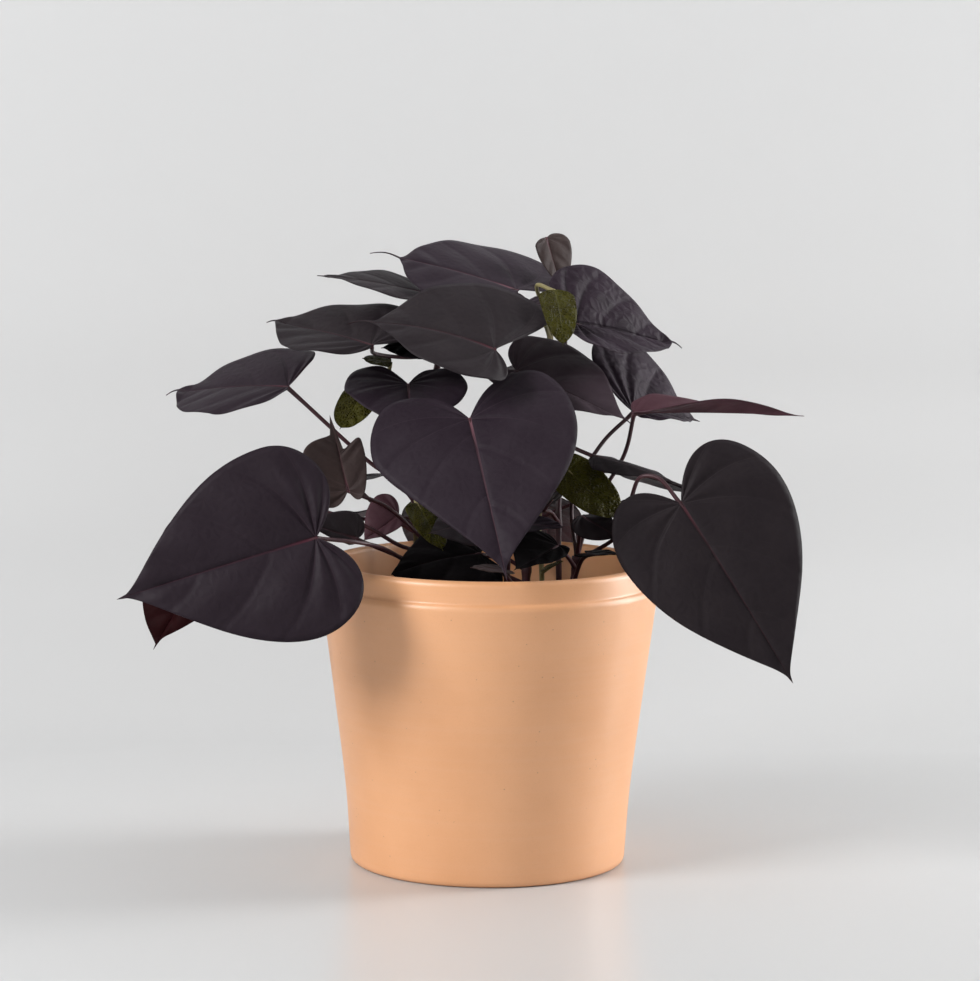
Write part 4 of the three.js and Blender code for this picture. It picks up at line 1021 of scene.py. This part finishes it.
def add_stage():
    """A pale board that turns up into a backdrop behind the plant: flat, a quarter circle, then upright."""
    flat = np.concatenate([[BOARD_FRONT], np.linspace(*BOARD_FLAT, 20)])
    angle = np.linspace(0, math.pi / 2, 25)[1:]
    y = np.concatenate([flat, flat[-1] + BOARD_TURN * np.sin(angle), [flat[-1] + BOARD_TURN]])
    z = np.concatenate([np.zeros(len(flat)), BOARD_TURN * (1 - np.cos(angle)), [BOARD_TOP]])
    x = np.linspace(-BOARD_HALF_WIDTH, BOARD_HALF_WIDTH, 3)
    points = np.stack(np.broadcast_arrays(x[None], y[:, None], z[:, None] - BOARD_DROP), -1)
    mesh = bpy.data.meshes.new("sweep")
    quads = grid_quads(len(y), len(x))[:, ::-1]
    mesh.from_pydata(points.reshape(-1, 3).tolist(), [], quads.tolist())
    mesh.polygons.foreach_set("use_smooth", np.ones(len(mesh.polygons), bool))
    sweep = bpy.data.objects.new("sweep", mesh)
    bpy.context.scene.collection.objects.link(sweep)
    material, tree, shader = new_material("sweep")
    shader["Base Color"].default_value = (*BOARD_COLOUR, 1)
    shader["Roughness"].default_value = 0.28
    shader["Specular IOR Level"].default_value = 0.35
    shader["Emission Color"].default_value = (1, 1, 1, 1)
    height = parts_of(tree, object_place(tree))[2]
    tree.links.new(ramp(tree, height, 0.03, 0.32, 0.0, BOARD_GLOW), shader["Emission Strength"])
    mesh.materials.append(material)


def add_light(name, place, size, power):
    """A soft white rectangular light that looks at the plant."""
    data = bpy.data.lights.new(name, "AREA")
    data.shape = "RECTANGLE"
    data.size, data.size_y = size
    data.energy = power
    light = bpy.data.objects.new(name, data)
    light.location = place
    light.rotation_euler = (Vector(LIGHT_AIM) - Vector(place)).to_track_quat("-Z", "Y").to_euler()
    bpy.context.scene.collection.objects.link(light)


def add_camera():
    """The camera looks along +Y, tipped down by its pitch and turned about its own axis by its roll."""
    data = bpy.data.cameras.new("camera")
    data.sensor_width = SENSOR
    data.lens = FOCAL_PIXELS / IMAGE_PIXELS * SENSOR
    camera = bpy.data.objects.new("camera", data)
    tip = Matrix.Rotation(math.pi / 2 - CAMERA_PITCH, 4, "X")
    camera.matrix_world = Matrix.Translation(CAMERA_PLACE) @ tip @ Matrix.Rotation(CAMERA_ROLL, 4, "Z")
    bpy.context.scene.collection.objects.link(camera)
    bpy.context.scene.camera = camera


def add_world():
    """Dim, even light from all round."""
    world = bpy.data.worlds.new("studio")
    world.use_nodes = True
    world.node_tree.nodes["Background"].inputs["Color"].default_value = (1, 1, 1, 1)
    world.node_tree.nodes["Background"].inputs["Strength"].default_value = WORLD_STRENGTH
    bpy.context.scene.world = world


# ---------------------------------------------------------------- the plant

add_camera()
add_world()
add_stage()
for light_name, settings in LIGHTS.items():
    add_light(light_name, *settings)
bpy.context.scene.view_settings.view_transform = "Standard"

VEINS = vein_group()
GRAIN = grain_group()
blade_materials = {
    tone: [blade_material("blade " + tone, colours, VEINS, GRAIN),
           blade_material("blade underside " + tone, colours, VEINS, GRAIN, under=True)]
    for tone, colours in TONES.items()
}
blade_materials["olive"] = [green_material("quilted green", VEINS, GRAIN),
                            green_material("quilted green underside", VEINS, GRAIN, under=True)]
wine = stem_material("wine stem", *WINE_STEM, GRAIN, 0.42)
pale = stem_material("pale stem", *PALE_STEM, GRAIN, 0.6)

add_pot(terracotta_material(GRAIN))
add_soil(soil_material(GRAIN))
for stem_name in STEMS:
    if stem_name.startswith("companion"):
        add_stem(stem_name, pale)
    else:
        add_stem(stem_name, wine)
for leaf_name, leaf in LEAVES.items():
    add_leaf(leaf_name, leaf, blade_materials[leaf["tone"]])
